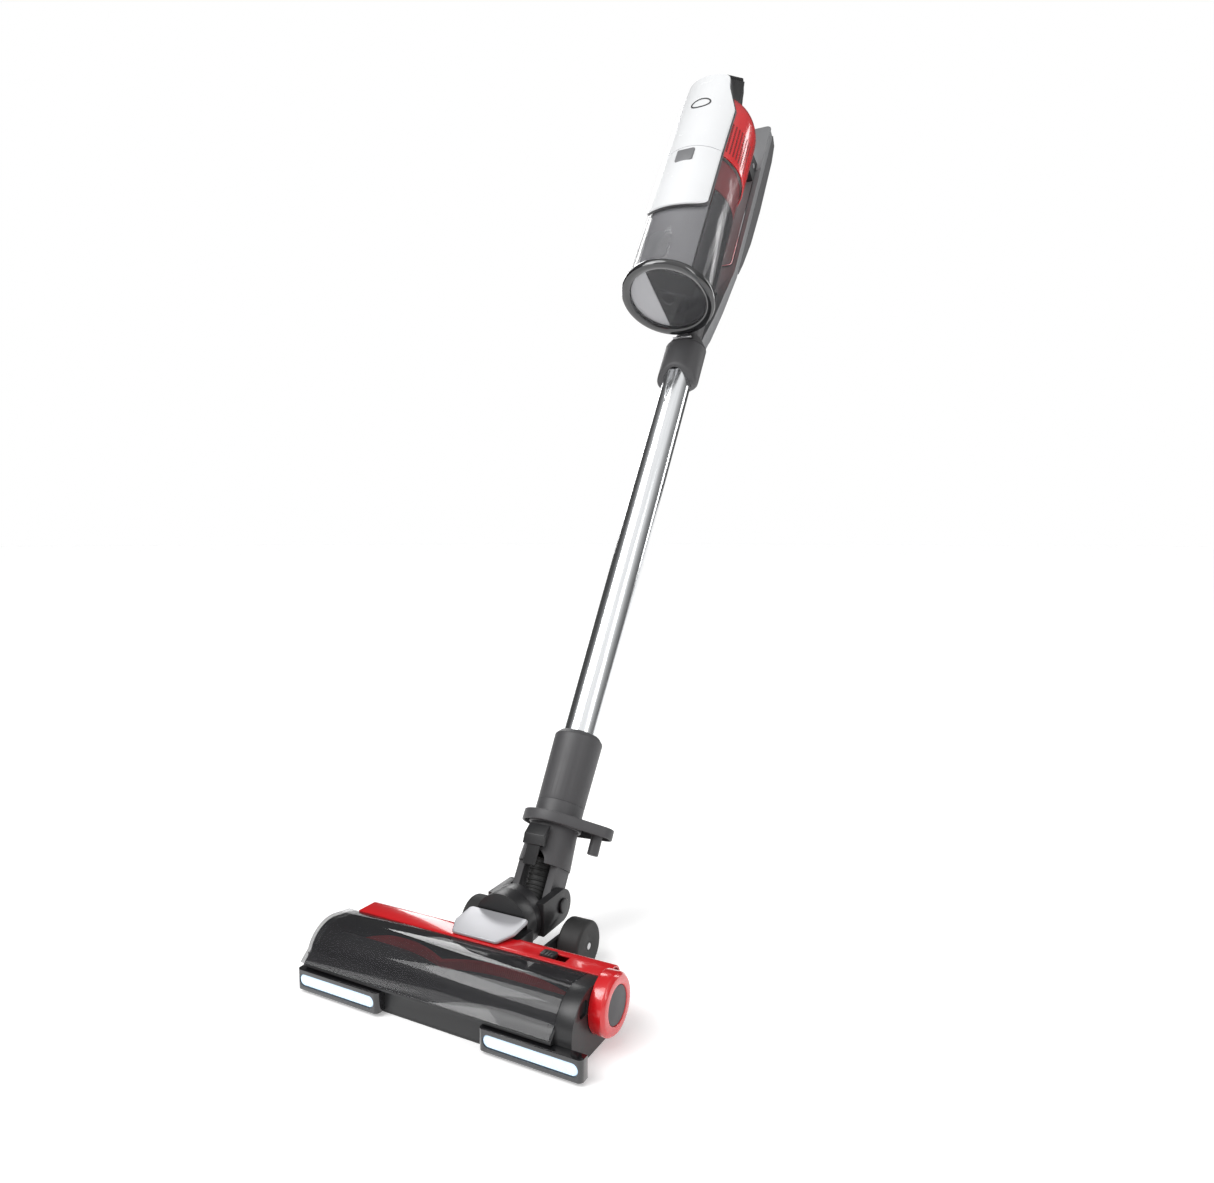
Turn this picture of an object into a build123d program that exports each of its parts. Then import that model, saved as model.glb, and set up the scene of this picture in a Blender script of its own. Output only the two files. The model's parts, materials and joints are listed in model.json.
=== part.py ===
from build123d import *
import os
from math import cos, radians, sin

# Cordless upright vacuum cleaner. Millimetres, +Z up, -Y is the front, X is 0 on the middle plane.
# The origin lies on the floor under the middle of the object's bounding box.

# ---- driving dimensions -------------------------------------------------------------------
LEAN = 32.0             # the wand leans back from vertical
FRONT_Y = -408.4        # front edge of the floor head
PIVOT_DEPTH = 159.0     # neck pivot behind the front edge
PIVOT_Z = 48.0
HALF_WIDTH = 140.0      # half the overall width of the floor head
WALL = 2.0              # moulded wall
RUN = 0.06              # radial running clearance of a shaft
GAP = 0.5               # clearance between parts that move past each other

# heights along the wand, from the neck pivot
RING_S = 687.0          # lower face of the bin's door ring
SEAM_S = 91.0           # neck to lower collar
COLLAR_TOP_S = 163.0
SLEEVE_S = 622.0
SLEEVE_TOP_S = RING_S - 10.0

TUBE_R = 17.5
TUBE_WALL = 1.2
BIN_V = 74.4            # bin axis in front of the wand axis
BIN_R = 54.0
DOOR_R = 57.8
BIN_TOP = 200.0         # heights in the hand unit, from the door ring's lower face
DOOR_T = 9.0
COVER_SEAM = 202.0

ROLL_DEPTH = 38.0       # brush roll axis
ROLL_Z = 24.0
BRISTLE_R = 22.5
WINDOW_R = 29.0
WHEEL_R = 22.0
WHEEL_DEPTH = 148.0
MOTOR_DEPTH = 73.5      # brush motor axis
MOTOR_Z = 34.0
SWIVEL_Z = 46.0         # roll axis of the knuckle

AXIS = Vector(0, sin(radians(LEAN)), cos(radians(LEAN)))
BACK = Vector(0, cos(radians(LEAN)), -sin(radians(LEAN)))
FRONT = Vector(0, -cos(radians(LEAN)), sin(radians(LEAN)))
PIVOT = Vector(0, FRONT_Y + PIVOT_DEPTH, PIVOT_Z)
HAND = PIVOT + AXIS * RING_S


# ---- planes: wand_* count from the neck pivot, hand_* from the door ring ---------------------
def wand_across(height, x=0):
    """Across the wand: local x is X, local y is backwards."""
    return Plane(origin=PIVOT + AXIS * height + Vector(x, 0, 0), x_dir=(1, 0, 0), z_dir=AXIS)


def wand_side(x=0):
    """Along the wand, seen from the right: local x is backwards, local y is up the wand."""
    return Plane(origin=PIVOT + Vector(x, 0, 0), x_dir=BACK, z_dir=(1, 0, 0))


def wand_facing(forward, height=0):
    """Facing forwards: local x is X, local y is up the wand."""
    return Plane(origin=PIVOT + FRONT * forward + AXIS * height, x_dir=(1, 0, 0), z_dir=FRONT)


def hand_across(height, forward=0, x=0):
    origin = HAND + AXIS * height + FRONT * forward + Vector(x, 0, 0)
    return Plane(origin=origin, x_dir=(1, 0, 0), z_dir=AXIS)


def hand_side(x=0):
    return Plane(origin=HAND + Vector(x, 0, 0), x_dir=BACK, z_dir=(1, 0, 0))


def hand_facing(forward, height=0, x=0):
    origin = HAND + FRONT * forward + AXIS * height + Vector(x, 0, 0)
    return Plane(origin=origin, x_dir=(1, 0, 0), z_dir=FRONT)


def head_side(x=0):
    """Floor head seen from the right: local x is depth behind the front edge, local y is Z."""
    return Plane(origin=(x, FRONT_Y, 0), x_dir=(0, 1, 0), z_dir=(1, 0, 0))


def head_top(z=0):
    """Floor head from above: local x is X, local y is depth behind the front edge."""
    return Plane(origin=(0, FRONT_Y, z), x_dir=(1, 0, 0), z_dir=(0, 0, 1))


def head_facing(depth, z=0):
    """Faces backwards: local x is -X, local y is Z."""
    return Plane(origin=(0, FRONT_Y + depth, z), x_dir=(-1, 0, 0), z_dir=(0, 1, 0))


# ================================ floor head ==================================================
LEFT_WALL_X = -136.0
LEFT_WALL_T = 6.0
DRIVE_X = 112.0          # inner face of the drive block at the right end
DRIVE_OUT_X = 126.5
CHAMBER_BACK = 61.2
BAY_BACK = 85.6
DECK_Z = 48.0
SOLE_T = 3.0
MOUTH = (16.0, 58.0)     # suction mouth, front and back


def end_outline(radius, back, top):
    """Outline of a head end wall: round over the brush roll, straight at the back."""
    CenterArc((ROLL_DEPTH, ROLL_Z), radius, 90, 75)
    low = radians(165)
    foot = (ROLL_DEPTH + radius * cos(low), ROLL_Z + radius * sin(low))
    Polyline(
        foot,
        (9.3, ROLL_Z),
        (9.3, 0),
        (back, 0),
        (back, top),
        (60.0, top),
        (60.0, ROLL_Z + radius - 3.2),
        (ROLL_DEPTH, ROLL_Z + radius),
    )


BELT_X = (114.0, 123.0)
NECK_BOX_X = 32.2
SOCKET_R = 28.0
SOCKET_BORE_R = 20.0
SOCKET = (103.0, 118.0)
ARM_X = (37.5, 41.0)

with BuildPart() as base_housing:
    with BuildSketch(head_side(DRIVE_X)):
        with BuildLine():
            end_outline(WINDOW_R, 64.0, DECK_Z)
        make_face()
    extrude(amount=DRIVE_OUT_X - DRIVE_X)
    with BuildSketch(head_side(LEFT_WALL_X)):
        with BuildLine():
            end_outline(WINDOW_R - WALL - GAP, CHAMBER_BACK + WALL, DECK_Z - 1)
        make_face()
    extrude(amount=LEFT_WALL_T)
    # front beam that carries the window's lip and the light modules
    with BuildSketch(head_side(LEFT_WALL_X)):
        Polygon(
            (9.3, SOLE_T), (9.3, 20), (3.8, 21.6), (3.8, 23.4),
            (11.6, 30.8), (13.8, 29.4), (13.0, SOLE_T), align=None,
        )
    extrude(amount=DRIVE_X - LEFT_WALL_X)
    # chamber back wall, motor bay floor and bay back wall
    with BuildSketch(head_side(LEFT_WALL_X)):
        Polygon(
            (CHAMBER_BACK, SOLE_T), (BAY_BACK, SOLE_T), (BAY_BACK, 30), (BAY_BACK - WALL, 30),
            (BAY_BACK - WALL, SOLE_T + WALL), (CHAMBER_BACK + WALL, SOLE_T + WALL),
            (CHAMBER_BACK + WALL, DECK_Z - 1), (CHAMBER_BACK, DECK_Z - 1), align=None,
        )
    extrude(amount=DRIVE_OUT_X - LEFT_WALL_X)
    # neck box, cross beam and the two wheel arms
    with BuildSketch(head_top(8)):
        with Locations((0, 93)):
            Rectangle(2 * NECK_BOX_X, 24)
    extrude(amount=DECK_Z - 8.2)
    with BuildSketch(head_top(12)):
        with Locations((0, 94)):
            Rectangle(2 * ARM_X[1], 10)
    extrude(amount=20)
    for x in (ARM_X[0], -ARM_X[1]):
        with BuildSketch(head_side(x)):
            Polygon((89, 12), (89, 32), (148, 31), (148, 13), align=None)
            with Locations((WHEEL_DEPTH, WHEEL_R)):
                Circle(9)
        extrude(amount=ARM_X[1] - ARM_X[0])
    with BuildSketch(head_facing(SOCKET[0], SWIVEL_Z)):
        Circle(SOCKET_R)
    extrude(amount=SOCKET[1] - SOCKET[0])
    with BuildSketch(head_facing(SOCKET[0] + 3.5, SWIVEL_Z)):
        Circle(SOCKET_BORE_R)
    extrude(amount=SOCKET[1] - SOCKET[0], mode=Mode.SUBTRACT)
    # air passage from the brush chamber to the swivel socket
    passage = Plane(origin=(0, FRONT_Y + 58, 24), x_dir=(1, 0, 0), z_dir=(0, 46, 11))
    with BuildSketch(passage):
        Circle(11)
    extrude(amount=52, mode=Mode.SUBTRACT)
    # belt pocket inside the drive block, open to the drive cover
    with BuildSketch(head_side(BELT_X[0])):
        with BuildSketch(mode=Mode.PRIVATE) as pocket_ends:
            with Locations((ROLL_DEPTH, ROLL_Z)):
                Circle(12.3)
            with Locations((MOTOR_DEPTH, MOTOR_Z)):
                Circle(8)
        add(make_hull(pocket_ends.sketch.edges(), mode=Mode.PRIVATE))
    extrude(amount=BELT_X[1] - BELT_X[0], mode=Mode.SUBTRACT)
    with BuildSketch(head_side(BELT_X[0])):
        with Locations((56.5, 31)):
            Circle(9)
    extrude(amount=20, mode=Mode.SUBTRACT)
    # roll shaft and motor shaft holes
    with BuildSketch(head_side(LEFT_WALL_X)):
        with Locations((ROLL_DEPTH, ROLL_Z)):
            Circle(3 + RUN)
    extrude(amount=260, mode=Mode.SUBTRACT)
    with BuildSketch(head_side(DRIVE_X - 2)):
        with Locations((MOTOR_DEPTH, MOTOR_Z)):
            Circle(1.5 + RUN)
    extrude(amount=6, mode=Mode.SUBTRACT)
    # scoop in the right end
    with BuildSketch(head_side(DRIVE_OUT_X)):
        with Locations((27, 41)):
            RectangleRounded(12, 12, 4)
    extrude(amount=-2.5, mode=Mode.SUBTRACT)
    with BuildSketch(head_side(-50)):
        with Locations((WHEEL_DEPTH, WHEEL_R)):
            Circle(3)
    extrude(amount=100, mode=Mode.SUBTRACT)

with BuildPart() as sole_plate:
    with BuildSketch(head_top()):
        with Locations((-9, 36.0)):
            RectangleRounded(240, 52, 4)
        with Locations((-9, 37.0)):
            Rectangle(230, MOUTH[1] - MOUTH[0], mode=Mode.SUBTRACT)
    extrude(amount=SOLE_T - 0.1)

WINDOW_ARC = (86.0, 160.0)


def arc_point(radius, angle):
    return (ROLL_DEPTH + radius * cos(radians(angle)), ROLL_Z + radius * sin(radians(angle)))


with BuildPart() as brush_window:
    with BuildSketch(head_side(LEFT_WALL_X - 2)):
        with BuildLine():
            CenterArc((ROLL_DEPTH, ROLL_Z), WINDOW_R, WINDOW_ARC[0], WINDOW_ARC[1] - WINDOW_ARC[0])
            CenterArc((ROLL_DEPTH, ROLL_Z), WINDOW_R - WALL, WINDOW_ARC[0], WINDOW_ARC[1] - WINDOW_ARC[0])
            Polyline(
                arc_point(WINDOW_R, WINDOW_ARC[0]), (60, 50), (60, 48.1),
                arc_point(WINDOW_R - WALL, WINDOW_ARC[0]),
            )
            Polyline(
                arc_point(WINDOW_R, WINDOW_ARC[1]), (2, 25.6), (3.4, 24.1),
                arc_point(WINDOW_R - WALL, WINDOW_ARC[1]),
            )
        make_face()
    extrude(amount=DRIVE_X - LEFT_WALL_X + 1.7)
    # left end of the window
    with BuildSketch(head_side(LEFT_WALL_X - 2)):
        with BuildLine():
            CenterArc((ROLL_DEPTH, ROLL_Z), WINDOW_R, WINDOW_ARC[0], WINDOW_ARC[1] - WINDOW_ARC[0])
            Polyline(
                arc_point(WINDOW_R, WINDOW_ARC[1]), (10, 24), (60, 24), (60, 50),
                arc_point(WINDOW_R, WINDOW_ARC[0]),
            )
        make_face()
    extrude(amount=1.8)

SLOT_X = (63.0, 87.0)
SLOT_DEPTH = (65.5, 75.0)

with BuildPart() as motor_cover:
    with BuildSketch(head_side(-127)):
        with BuildLine():
            Polyline((60.4, 50.2), (79, 50.2))
            TangentArc((79, 50.2), (88, 41), tangent=(1, 0))
            Polyline((88, 41), (88, 9), (86, 9), (86, 41))
            TangentArc((86, 41), (79, 48.2), tangent=(0, 1))
            Polyline((79, 48.2), (60.4, 48.2), (60.4, 50.2))
        make_face()
    extrude(amount=253)
    with BuildSketch(head_side(-33)):
        with Locations((89, 26)):
            Rectangle(20, 60)
    extrude(amount=66, mode=Mode.SUBTRACT)
    with BuildSketch(head_top(40)):
        with Locations(((SLOT_X[0] + SLOT_X[1]) / 2, (SLOT_DEPTH[0] + SLOT_DEPTH[1]) / 2)):
            Rectangle(SLOT_X[1] - SLOT_X[0], SLOT_DEPTH[1] - SLOT_DEPTH[0])
    extrude(amount=20, mode=Mode.SUBTRACT)

with BuildPart() as window_latch:
    with BuildSketch(head_top(48.6)):
        with Locations((SLOT_X[0] + 7, (SLOT_DEPTH[0] + SLOT_DEPTH[1]) / 2)):
            RectangleRounded(13, SLOT_DEPTH[1] - SLOT_DEPTH[0] - 2 * GAP, 1.5)
    extrude(amount=3.4)
    with BuildSketch(head_top(52)):
        with Locations(*[(SLOT_X[0] + 7 + 3 * step, (SLOT_DEPTH[0] + SLOT_DEPTH[1]) / 2) for step in (-1, 0, 1)]):
            Rectangle(1.2, 7)
    extrude(amount=0.6)

badge_plane = Plane(origin=(0, FRONT_Y + 63, 50.6), x_dir=(1, 0, 0), z_dir=(0, -5.0, 39.0))
with BuildPart() as badge_plate:
    with BuildSketch(badge_plane):
        Polygon((-23, 0), (23, 0), (31, 16), (31, 39), (-31, 39), (-31, 16), align=None)
        fillet(vertices(), 4)
    extrude(amount=3)
    fillet(faces().sort_by(Axis.Z)[-1].edges(), 1.2)

CAP = (56.5, 33.0)
CAP_R = 24.0
with BuildPart() as drive_cover:
    with BuildSketch(head_side(DRIVE_OUT_X + 0.1)):
        with Locations(CAP):
            Circle(CAP_R)
    extrude(amount=HALF_WIDTH - DRIVE_OUT_X - 0.1)
    chamfer(faces().sort_by(Axis.X)[-1].edges(), 2.5)
    with BuildSketch(head_side(DRIVE_OUT_X)):
        with Locations(CAP):
            Circle(CAP_R - 2.5)
    extrude(amount=10, mode=Mode.SUBTRACT)
    with BuildSketch(head_side(HALF_WIDTH)):
        with Locations(CAP):
            Circle(15.2)
    extrude(amount=-1.6, mode=Mode.SUBTRACT)

with BuildPart() as drive_cover_inlay:
    with BuildSketch(head_side(HALF_WIDTH - 1.6)):
        with Locations(CAP):
            Circle(15)
    extrude(amount=1.1)

LIGHT_X = (50.0, HALF_WIDTH)
with BuildPart() as light_housings:
    with BuildSketch(head_top(SOLE_T)):
        with Locations(((LIGHT_X[0] + LIGHT_X[1]) / 2, 4.6), (-(LIGHT_X[0] + LIGHT_X[1]) / 2, 4.6)):
            Rectangle(LIGHT_X[1] - LIGHT_X[0], 9.2)
        fillet(vertices().group_by(Axis.Y)[0], 4)
    extrude(amount=17)
    with BuildSketch(head_facing(5.2, 11.5)):
        with Locations((95.5, 0), (-95.5, 0)):
            SlotOverall(83, 10.4)
    extrude(amount=-10, mode=Mode.SUBTRACT)

with BuildPart() as light_lenses:
    with BuildSketch(head_facing(4.9, 11.5)):
        with Locations((95.5, 0), (-95.5, 0)):
            SlotOverall(82.4, 9.8)
    extrude(amount=-4.3)

with BuildPart() as brush_motor:
    with BuildSketch(head_side(52)):
        with Locations((MOTOR_DEPTH, MOTOR_Z)):
            Circle(9.9)
    extrude(amount=DRIVE_X - 52 - 0.2)
    with BuildSketch(head_side(100)):
        with Locations((MOTOR_DEPTH, MOTOR_Z)):
            Circle(1.5 + RUN)
    extrude(amount=20, mode=Mode.SUBTRACT)

MOTOR_PULLEY_R = 5.0
ROLL_PULLEY_R = 10.0
BELT_RUN_X = (115.5, 121.5)
with BuildPart() as motor_pulley:
    with BuildSketch(head_side(BELT_RUN_X[0])):
        with Locations((MOTOR_DEPTH, MOTOR_Z)):
            Circle(MOTOR_PULLEY_R)
    extrude(amount=BELT_RUN_X[1] - BELT_RUN_X[0])
    with BuildSketch(head_side(101)):
        with Locations((MOTOR_DEPTH, MOTOR_Z)):
            Circle(1.5)
    extrude(amount=16)


def belt_loop(extra):
    with Locations((ROLL_DEPTH, ROLL_Z)):
        Circle(ROLL_PULLEY_R + extra)
    with Locations((MOTOR_DEPTH, MOTOR_Z)):
        Circle(MOTOR_PULLEY_R + extra)


with BuildPart() as drive_belt:
    with BuildSketch(head_side(BELT_RUN_X[0] + 0.5)):
        with BuildSketch(mode=Mode.PRIVATE) as outer_loop:
            belt_loop(1.7)
        with BuildSketch(mode=Mode.PRIVATE) as inner_loop:
            belt_loop(0.2)
        add(make_hull(outer_loop.sketch.edges(), mode=Mode.PRIVATE))
        add(make_hull(inner_loop.sketch.edges(), mode=Mode.PRIVATE), mode=Mode.SUBTRACT)
    extrude(amount=5)

with BuildPart() as wheel_axles:
    for x in (37.5, -64):
        with BuildSketch(head_side(x)):
            with Locations((WHEEL_DEPTH, WHEEL_R)):
                Circle(2.95)
        extrude(amount=26.5)

with BuildPart() as head_screws:
    with BuildSketch(head_top(SOLE_T)):
        with Locations((-120, 74), (-70, 74), (70, 74), (118, 74)):
            Circle(1.0)
    extrude(amount=-1.6)


# ---- brush roll ---------------------------------------------------------------------------------
ROLL_X = (-127.5, 110.0)
CORE_R = 14.0
with BuildPart() as brush_core:
    with BuildSketch(head_side(ROLL_X[0])):
        with Locations((ROLL_DEPTH, ROLL_Z)):
            Circle(CORE_R)
    extrude(amount=ROLL_X[1] - ROLL_X[0])
    with BuildSketch(head_side(LEFT_WALL_X + 0.5)):
        with Locations((ROLL_DEPTH, ROLL_Z)):
            Circle(3)
    extrude(amount=121 - LEFT_WALL_X)
    with BuildSketch(head_side(BELT_RUN_X[0])):
        with Locations((ROLL_DEPTH, ROLL_Z)):
            Circle(ROLL_PULLEY_R)
    extrude(amount=BELT_RUN_X[1] - BELT_RUN_X[0])

ROLL_MID_X = (ROLL_X[0] + ROLL_X[1]) / 2
HALF_ROLL = (ROLL_X[1] - ROLL_X[0]) / 2 - 5
TWIST = 110.0
TWIST_STEPS = 6


def bristle_half(start_angle, thickness, side_sign):
    """One half of a chevron strip: a radial fin that turns round the core from the middle outwards."""
    with BuildPart() as half:
        for step in range(TWIST_STEPS + 1):
            share = step / TWIST_STEPS
            turn = radians(start_angle - TWIST * share)
            origin = (ROLL_MID_X + side_sign * (0.2 + share * HALF_ROLL), FRONT_Y + ROLL_DEPTH, ROLL_Z)
            fin_plane = Plane(origin=origin, x_dir=(0, cos(turn), sin(turn)), z_dir=(1, 0, 0))
            with BuildSketch(fin_plane):
                with Locations(((CORE_R + BRISTLE_R) / 2, 0)):
                    Rectangle(BRISTLE_R - CORE_R - 0.3, thickness)
        loft()
    return half


with BuildPart() as red_bristles:
    for side_sign in (1, -1):
        add(bristle_half(110, 3.0, side_sign).part)

with BuildPart() as black_bristles:
    for side_sign in (1, -1):
        add(bristle_half(290, 2.4, side_sign).part)


# ---- rear wheels ----------------------------------------------------------------------------------
WHEEL_X = 42.0
WHEEL_W = 22.0


def make_wheel(low_x):
    with BuildPart() as wheel:
        with BuildSketch(head_side(low_x)):
            with Locations((WHEEL_DEPTH, WHEEL_R)):
                Circle(WHEEL_R)
                Circle(2.95 + RUN, mode=Mode.SUBTRACT)
        extrude(amount=WHEEL_W)
        fillet(edges().filter_by(GeomType.CIRCLE).sort_by(SortBy.RADIUS)[-2:], 3)
    return wheel


right_wheel = make_wheel(WHEEL_X)
left_wheel = make_wheel(-WHEEL_X - WHEEL_W)


# ================================ knuckle ======================================================
EAR_X = (22.0, 30.0)
EAR_R = 15.0
PIN_R = 4.0
with BuildPart() as knuckle_body:
    with BuildSketch(head_facing(SOCKET[0] + 4.5, SWIVEL_Z)):
        Circle(SOCKET_BORE_R - RUN)
    extrude(amount=SOCKET[1] - SOCKET[0])
    with BuildSketch(head_facing(SOCKET[1] + GAP, SWIVEL_Z)):
        Circle(SOCKET_R - 0.6)
    extrude(amount=12)
    for x in (EAR_X[0], -EAR_X[1]):
        with BuildSketch(head_side(x)):
            with Locations((PIVOT_DEPTH, PIVOT_Z)):
                Circle(EAR_R)
            Polygon((126, 32), (126, 62), (PIVOT_DEPTH, 63), (PIVOT_DEPTH, 33), align=None)
        extrude(amount=EAR_X[1] - EAR_X[0])
    with BuildSketch(head_facing(SOCKET[0], SWIVEL_Z)):
        Circle(15)
    extrude(amount=40, mode=Mode.SUBTRACT)
    with BuildSketch(head_side(-40)):
        with Locations((PIVOT_DEPTH, PIVOT_Z)):
            Circle(PIN_R)
    extrude(amount=80, mode=Mode.SUBTRACT)

with BuildPart() as neck_hinge_pins:
    for x in (13.4, -32.0):
        with BuildSketch(head_side(x)):
            with Locations((PIVOT_DEPTH, PIVOT_Z)):
                Circle(PIN_R)
        extrude(amount=18.6)
    for x in (30.1, -32.6):
        with BuildSketch(head_side(x)):
            with Locations((PIVOT_DEPTH, PIVOT_Z)):
                Circle(7)
        extrude(amount=2.5)


# ================================ neck =========================================================
LEG_X = (14.0, 21.0)
LEG_R = 13.0
NECK_FLOOR_S = 31.0
NECK_BORE_R = 20.5
SPIGOT_R = 19.9
with BuildPart() as neck_tube:
    with BuildSketch(wand_across(NECK_FLOOR_S)):
        Circle(25.5)
    with BuildSketch(wand_across(64)):
        Circle(23.5)
    loft()
    with BuildSketch(wand_across(64)):
        Circle(23.5)
    extrude(amount=SEAM_S - 64)
    with BuildSketch(wand_across(SEAM_S)):
        Circle(SPIGOT_R)
    extrude(amount=34)
    with BuildSketch(wand_across(NECK_FLOOR_S + 3)):
        Circle(NECK_BORE_R)
    extrude(amount=SEAM_S - NECK_FLOOR_S - 6, mode=Mode.SUBTRACT)
    with BuildSketch(wand_across(NECK_FLOOR_S - 1)):
        Circle(13.4)
    extrude(amount=20, mode=Mode.SUBTRACT)
    with BuildSketch(wand_across(SEAM_S - 10)):
        Circle(SPIGOT_R - 2.5)
    extrude(amount=60, mode=Mode.SUBTRACT)
    for x in (LEG_X[0], -LEG_X[1]):
        with BuildSketch(wand_side(x)):
            Circle(LEG_R)
            with Locations((0, 18)):
                Rectangle(2 * LEG_R, 36)
        extrude(amount=LEG_X[1] - LEG_X[0])
    with BuildSketch(wand_side(-40)):
        Circle(PIN_R + RUN)
    extrude(amount=80, mode=Mode.SUBTRACT)
    # arch at the front, over the hose
    with BuildSketch(wand_facing(0, NECK_FLOOR_S)):
        Circle(11.5)
        with Locations((0, -6)):
            Rectangle(23, 12)
    extrude(amount=40, mode=Mode.SUBTRACT)
    # guide hole of the head latch
    with BuildSketch(wand_facing(0, 58)):
        Circle(3.4)
    extrude(amount=40, mode=Mode.SUBTRACT)

with BuildPart() as head_latch:
    with BuildSketch(wand_side(-11)):
        Polygon((-27, 44), (-27, 64), (-29, 64), (-34, 53), (-32.5, 44), align=None)
    extrude(amount=22)
    with BuildSketch(wand_side(-6.5)):
        Polygon((-27.6, 26), (-27.6, 44.5), (-31, 44.5), (-29.5, 26), align=None)
    extrude(amount=13)
    with BuildSketch(wand_facing(21.5, 58)):
        Circle(3)
    extrude(amount=6)

RING_PLATE_S = 68.0
with BuildPart() as accessory_ring:
    with BuildSketch(wand_across(RING_PLATE_S)):
        with BuildSketch(mode=Mode.PRIVATE) as plate_discs:
            Circle(33)
            with Locations((43, 12)):
                Circle(13)
        add(make_hull(plate_discs.sketch.edges(), mode=Mode.PRIVATE))
    extrude(amount=10)
    with BuildSketch(wand_across(RING_PLATE_S)):
        with BuildSketch(mode=Mode.PRIVATE) as hollow_discs:
            Circle(31)
            with Locations((43, 12)):
                Circle(11)
        add(make_hull(hollow_discs.sketch.edges(), mode=Mode.PRIVATE))
    extrude(amount=7.4, mode=Mode.SUBTRACT)
    with BuildSketch(wand_across(RING_PLATE_S)):
        Circle(26)
        Circle(23.5, mode=Mode.SUBTRACT)
    extrude(amount=10)
    with BuildSketch(wand_across(RING_PLATE_S)):
        Circle(23.5)
    extrude(amount=20, mode=Mode.SUBTRACT)
    with BuildSketch(wand_across(RING_PLATE_S - 17)):
        with Locations((41, 12)):
            Circle(5.5)
    extrude(amount=25)

HOSE_R = 12.4
with BuildPart() as flexible_hose:
    with BuildLine(head_side()) as hose_path:
        hose_foot = (PIVOT_DEPTH - 35, SWIVEL_Z)
        hose_turn = (PIVOT_DEPTH - 2 * sin(radians(LEAN)) / cos(radians(LEAN)), SWIVEL_Z)
        hose_end = (PIVOT_DEPTH + 36 * sin(radians(LEAN)), PIVOT_Z + 36 * cos(radians(LEAN)))
        FilletPolyline(hose_foot, hose_turn, hose_end, radius=28)
    with BuildSketch(Plane(origin=hose_path.line @ 0, x_dir=(1, 0, 0), z_dir=hose_path.line % 0)):
        Circle(HOSE_R)
        Circle(HOSE_R - 1.8, mode=Mode.SUBTRACT)
    sweep(path=hose_path.line)


# ================================ wand =========================================================
TUBE_S = (127.5, 660.0)
with BuildPart() as lower_collar:
    with BuildSketch(wand_across(SEAM_S)):
        Circle(23.5)
    with BuildSketch(wand_across(COLLAR_TOP_S - 5)):
        Circle(24.8)
    loft()
    with BuildSketch(wand_across(COLLAR_TOP_S - 5)):
        Circle(24.8)
    with BuildSketch(wand_across(COLLAR_TOP_S)):
        Circle(20.5)
    loft()
    with BuildSketch(wand_across(SEAM_S - 1)):
        Circle(SPIGOT_R + 0.1)
    extrude(amount=36, mode=Mode.SUBTRACT)
    with BuildSketch(wand_across(SEAM_S)):
        Circle(TUBE_R)
    extrude(amount=90, mode=Mode.SUBTRACT)

with BuildPart() as wand_tube:
    with BuildSketch(wand_across(TUBE_S[0])):
        Circle(TUBE_R)
        Circle(TUBE_R - TUBE_WALL, mode=Mode.SUBTRACT)
    extrude(amount=TUBE_S[1] - TUBE_S[0])

SLEEVE_HALF = (26.5, 21.2)
with BuildPart() as upper_sleeve:
    with BuildSketch(wand_across(SLEEVE_S)):
        Ellipse(*SLEEVE_HALF)
    extrude(amount=SLEEVE_TOP_S - SLEEVE_S)
    fillet(faces().sort_by(Axis.Z)[0].edges(), 2)
    with BuildSketch(wand_across(SLEEVE_S - 1)):
        Circle(TUBE_R)
    extrude(amount=80, mode=Mode.SUBTRACT)
    with BuildSketch(wand_facing(-10, 645)):
        Circle(3.4)
    extrude(amount=-40, mode=Mode.SUBTRACT)

with BuildPart() as wand_latch:
    with BuildSketch(wand_facing(-23.6, 645)):
        RectangleRounded(18, 24, 4)
    extrude(amount=-4)
    with BuildSketch(wand_facing(-20, 645)):
        Circle(3)
    extrude(amount=-5)


# ================================ hand unit ====================================================
DUCT_R = 15.5
DUCT_TOP = 150.0
PORT_U = 128.0
HINGE_V = 18.0
HINGE_U = -5.0
with BuildPart() as inlet_duct:
    with BuildSketch(hand_across(-10)):
        Ellipse(*SLEEVE_HALF)
    with BuildSketch(hand_across(6)):
        Ellipse(17.5, DUCT_R)
    loft()
    with BuildSketch(hand_across(6)):
        Circle(DUCT_R)
    extrude(amount=DUCT_TOP - 6)
    with BuildSketch(hand_across(-25.5)):
        Circle(TUBE_R - RUN)
    extrude(amount=16)
    with BuildSketch(hand_facing(0, PORT_U)):
        Circle(13)
    extrude(amount=30)
    with BuildSketch(hand_across(0, BIN_V)):
        Circle(BIN_R + GAP)
    extrude(amount=220, mode=Mode.SUBTRACT)
    with BuildSketch(hand_across(-30)):
        Circle(DUCT_R - 2.5)
    extrude(amount=DUCT_TOP + 28, mode=Mode.SUBTRACT)
    with BuildSketch(hand_facing(0, PORT_U)):
        Circle(10.5)
    extrude(amount=40, mode=Mode.SUBTRACT)
    # recess for the bin door's hinge and ring
    with BuildSketch(hand_side(-14)):
        with Locations((-30, -4)):
            Rectangle(31.5, 11)
    extrude(amount=28, mode=Mode.SUBTRACT)
    with BuildSketch(hand_across(-0.5, BIN_V)):
        Circle(DOOR_R + GAP)
    extrude(amount=12, mode=Mode.SUBTRACT)

DOME_U = 288.0
BRIDGE_X = 12.0
NOSE_X = 18.0
FLANK_X = 27.0
SHELL_R = 54.5
SHELL_WALL = 2.2


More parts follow.
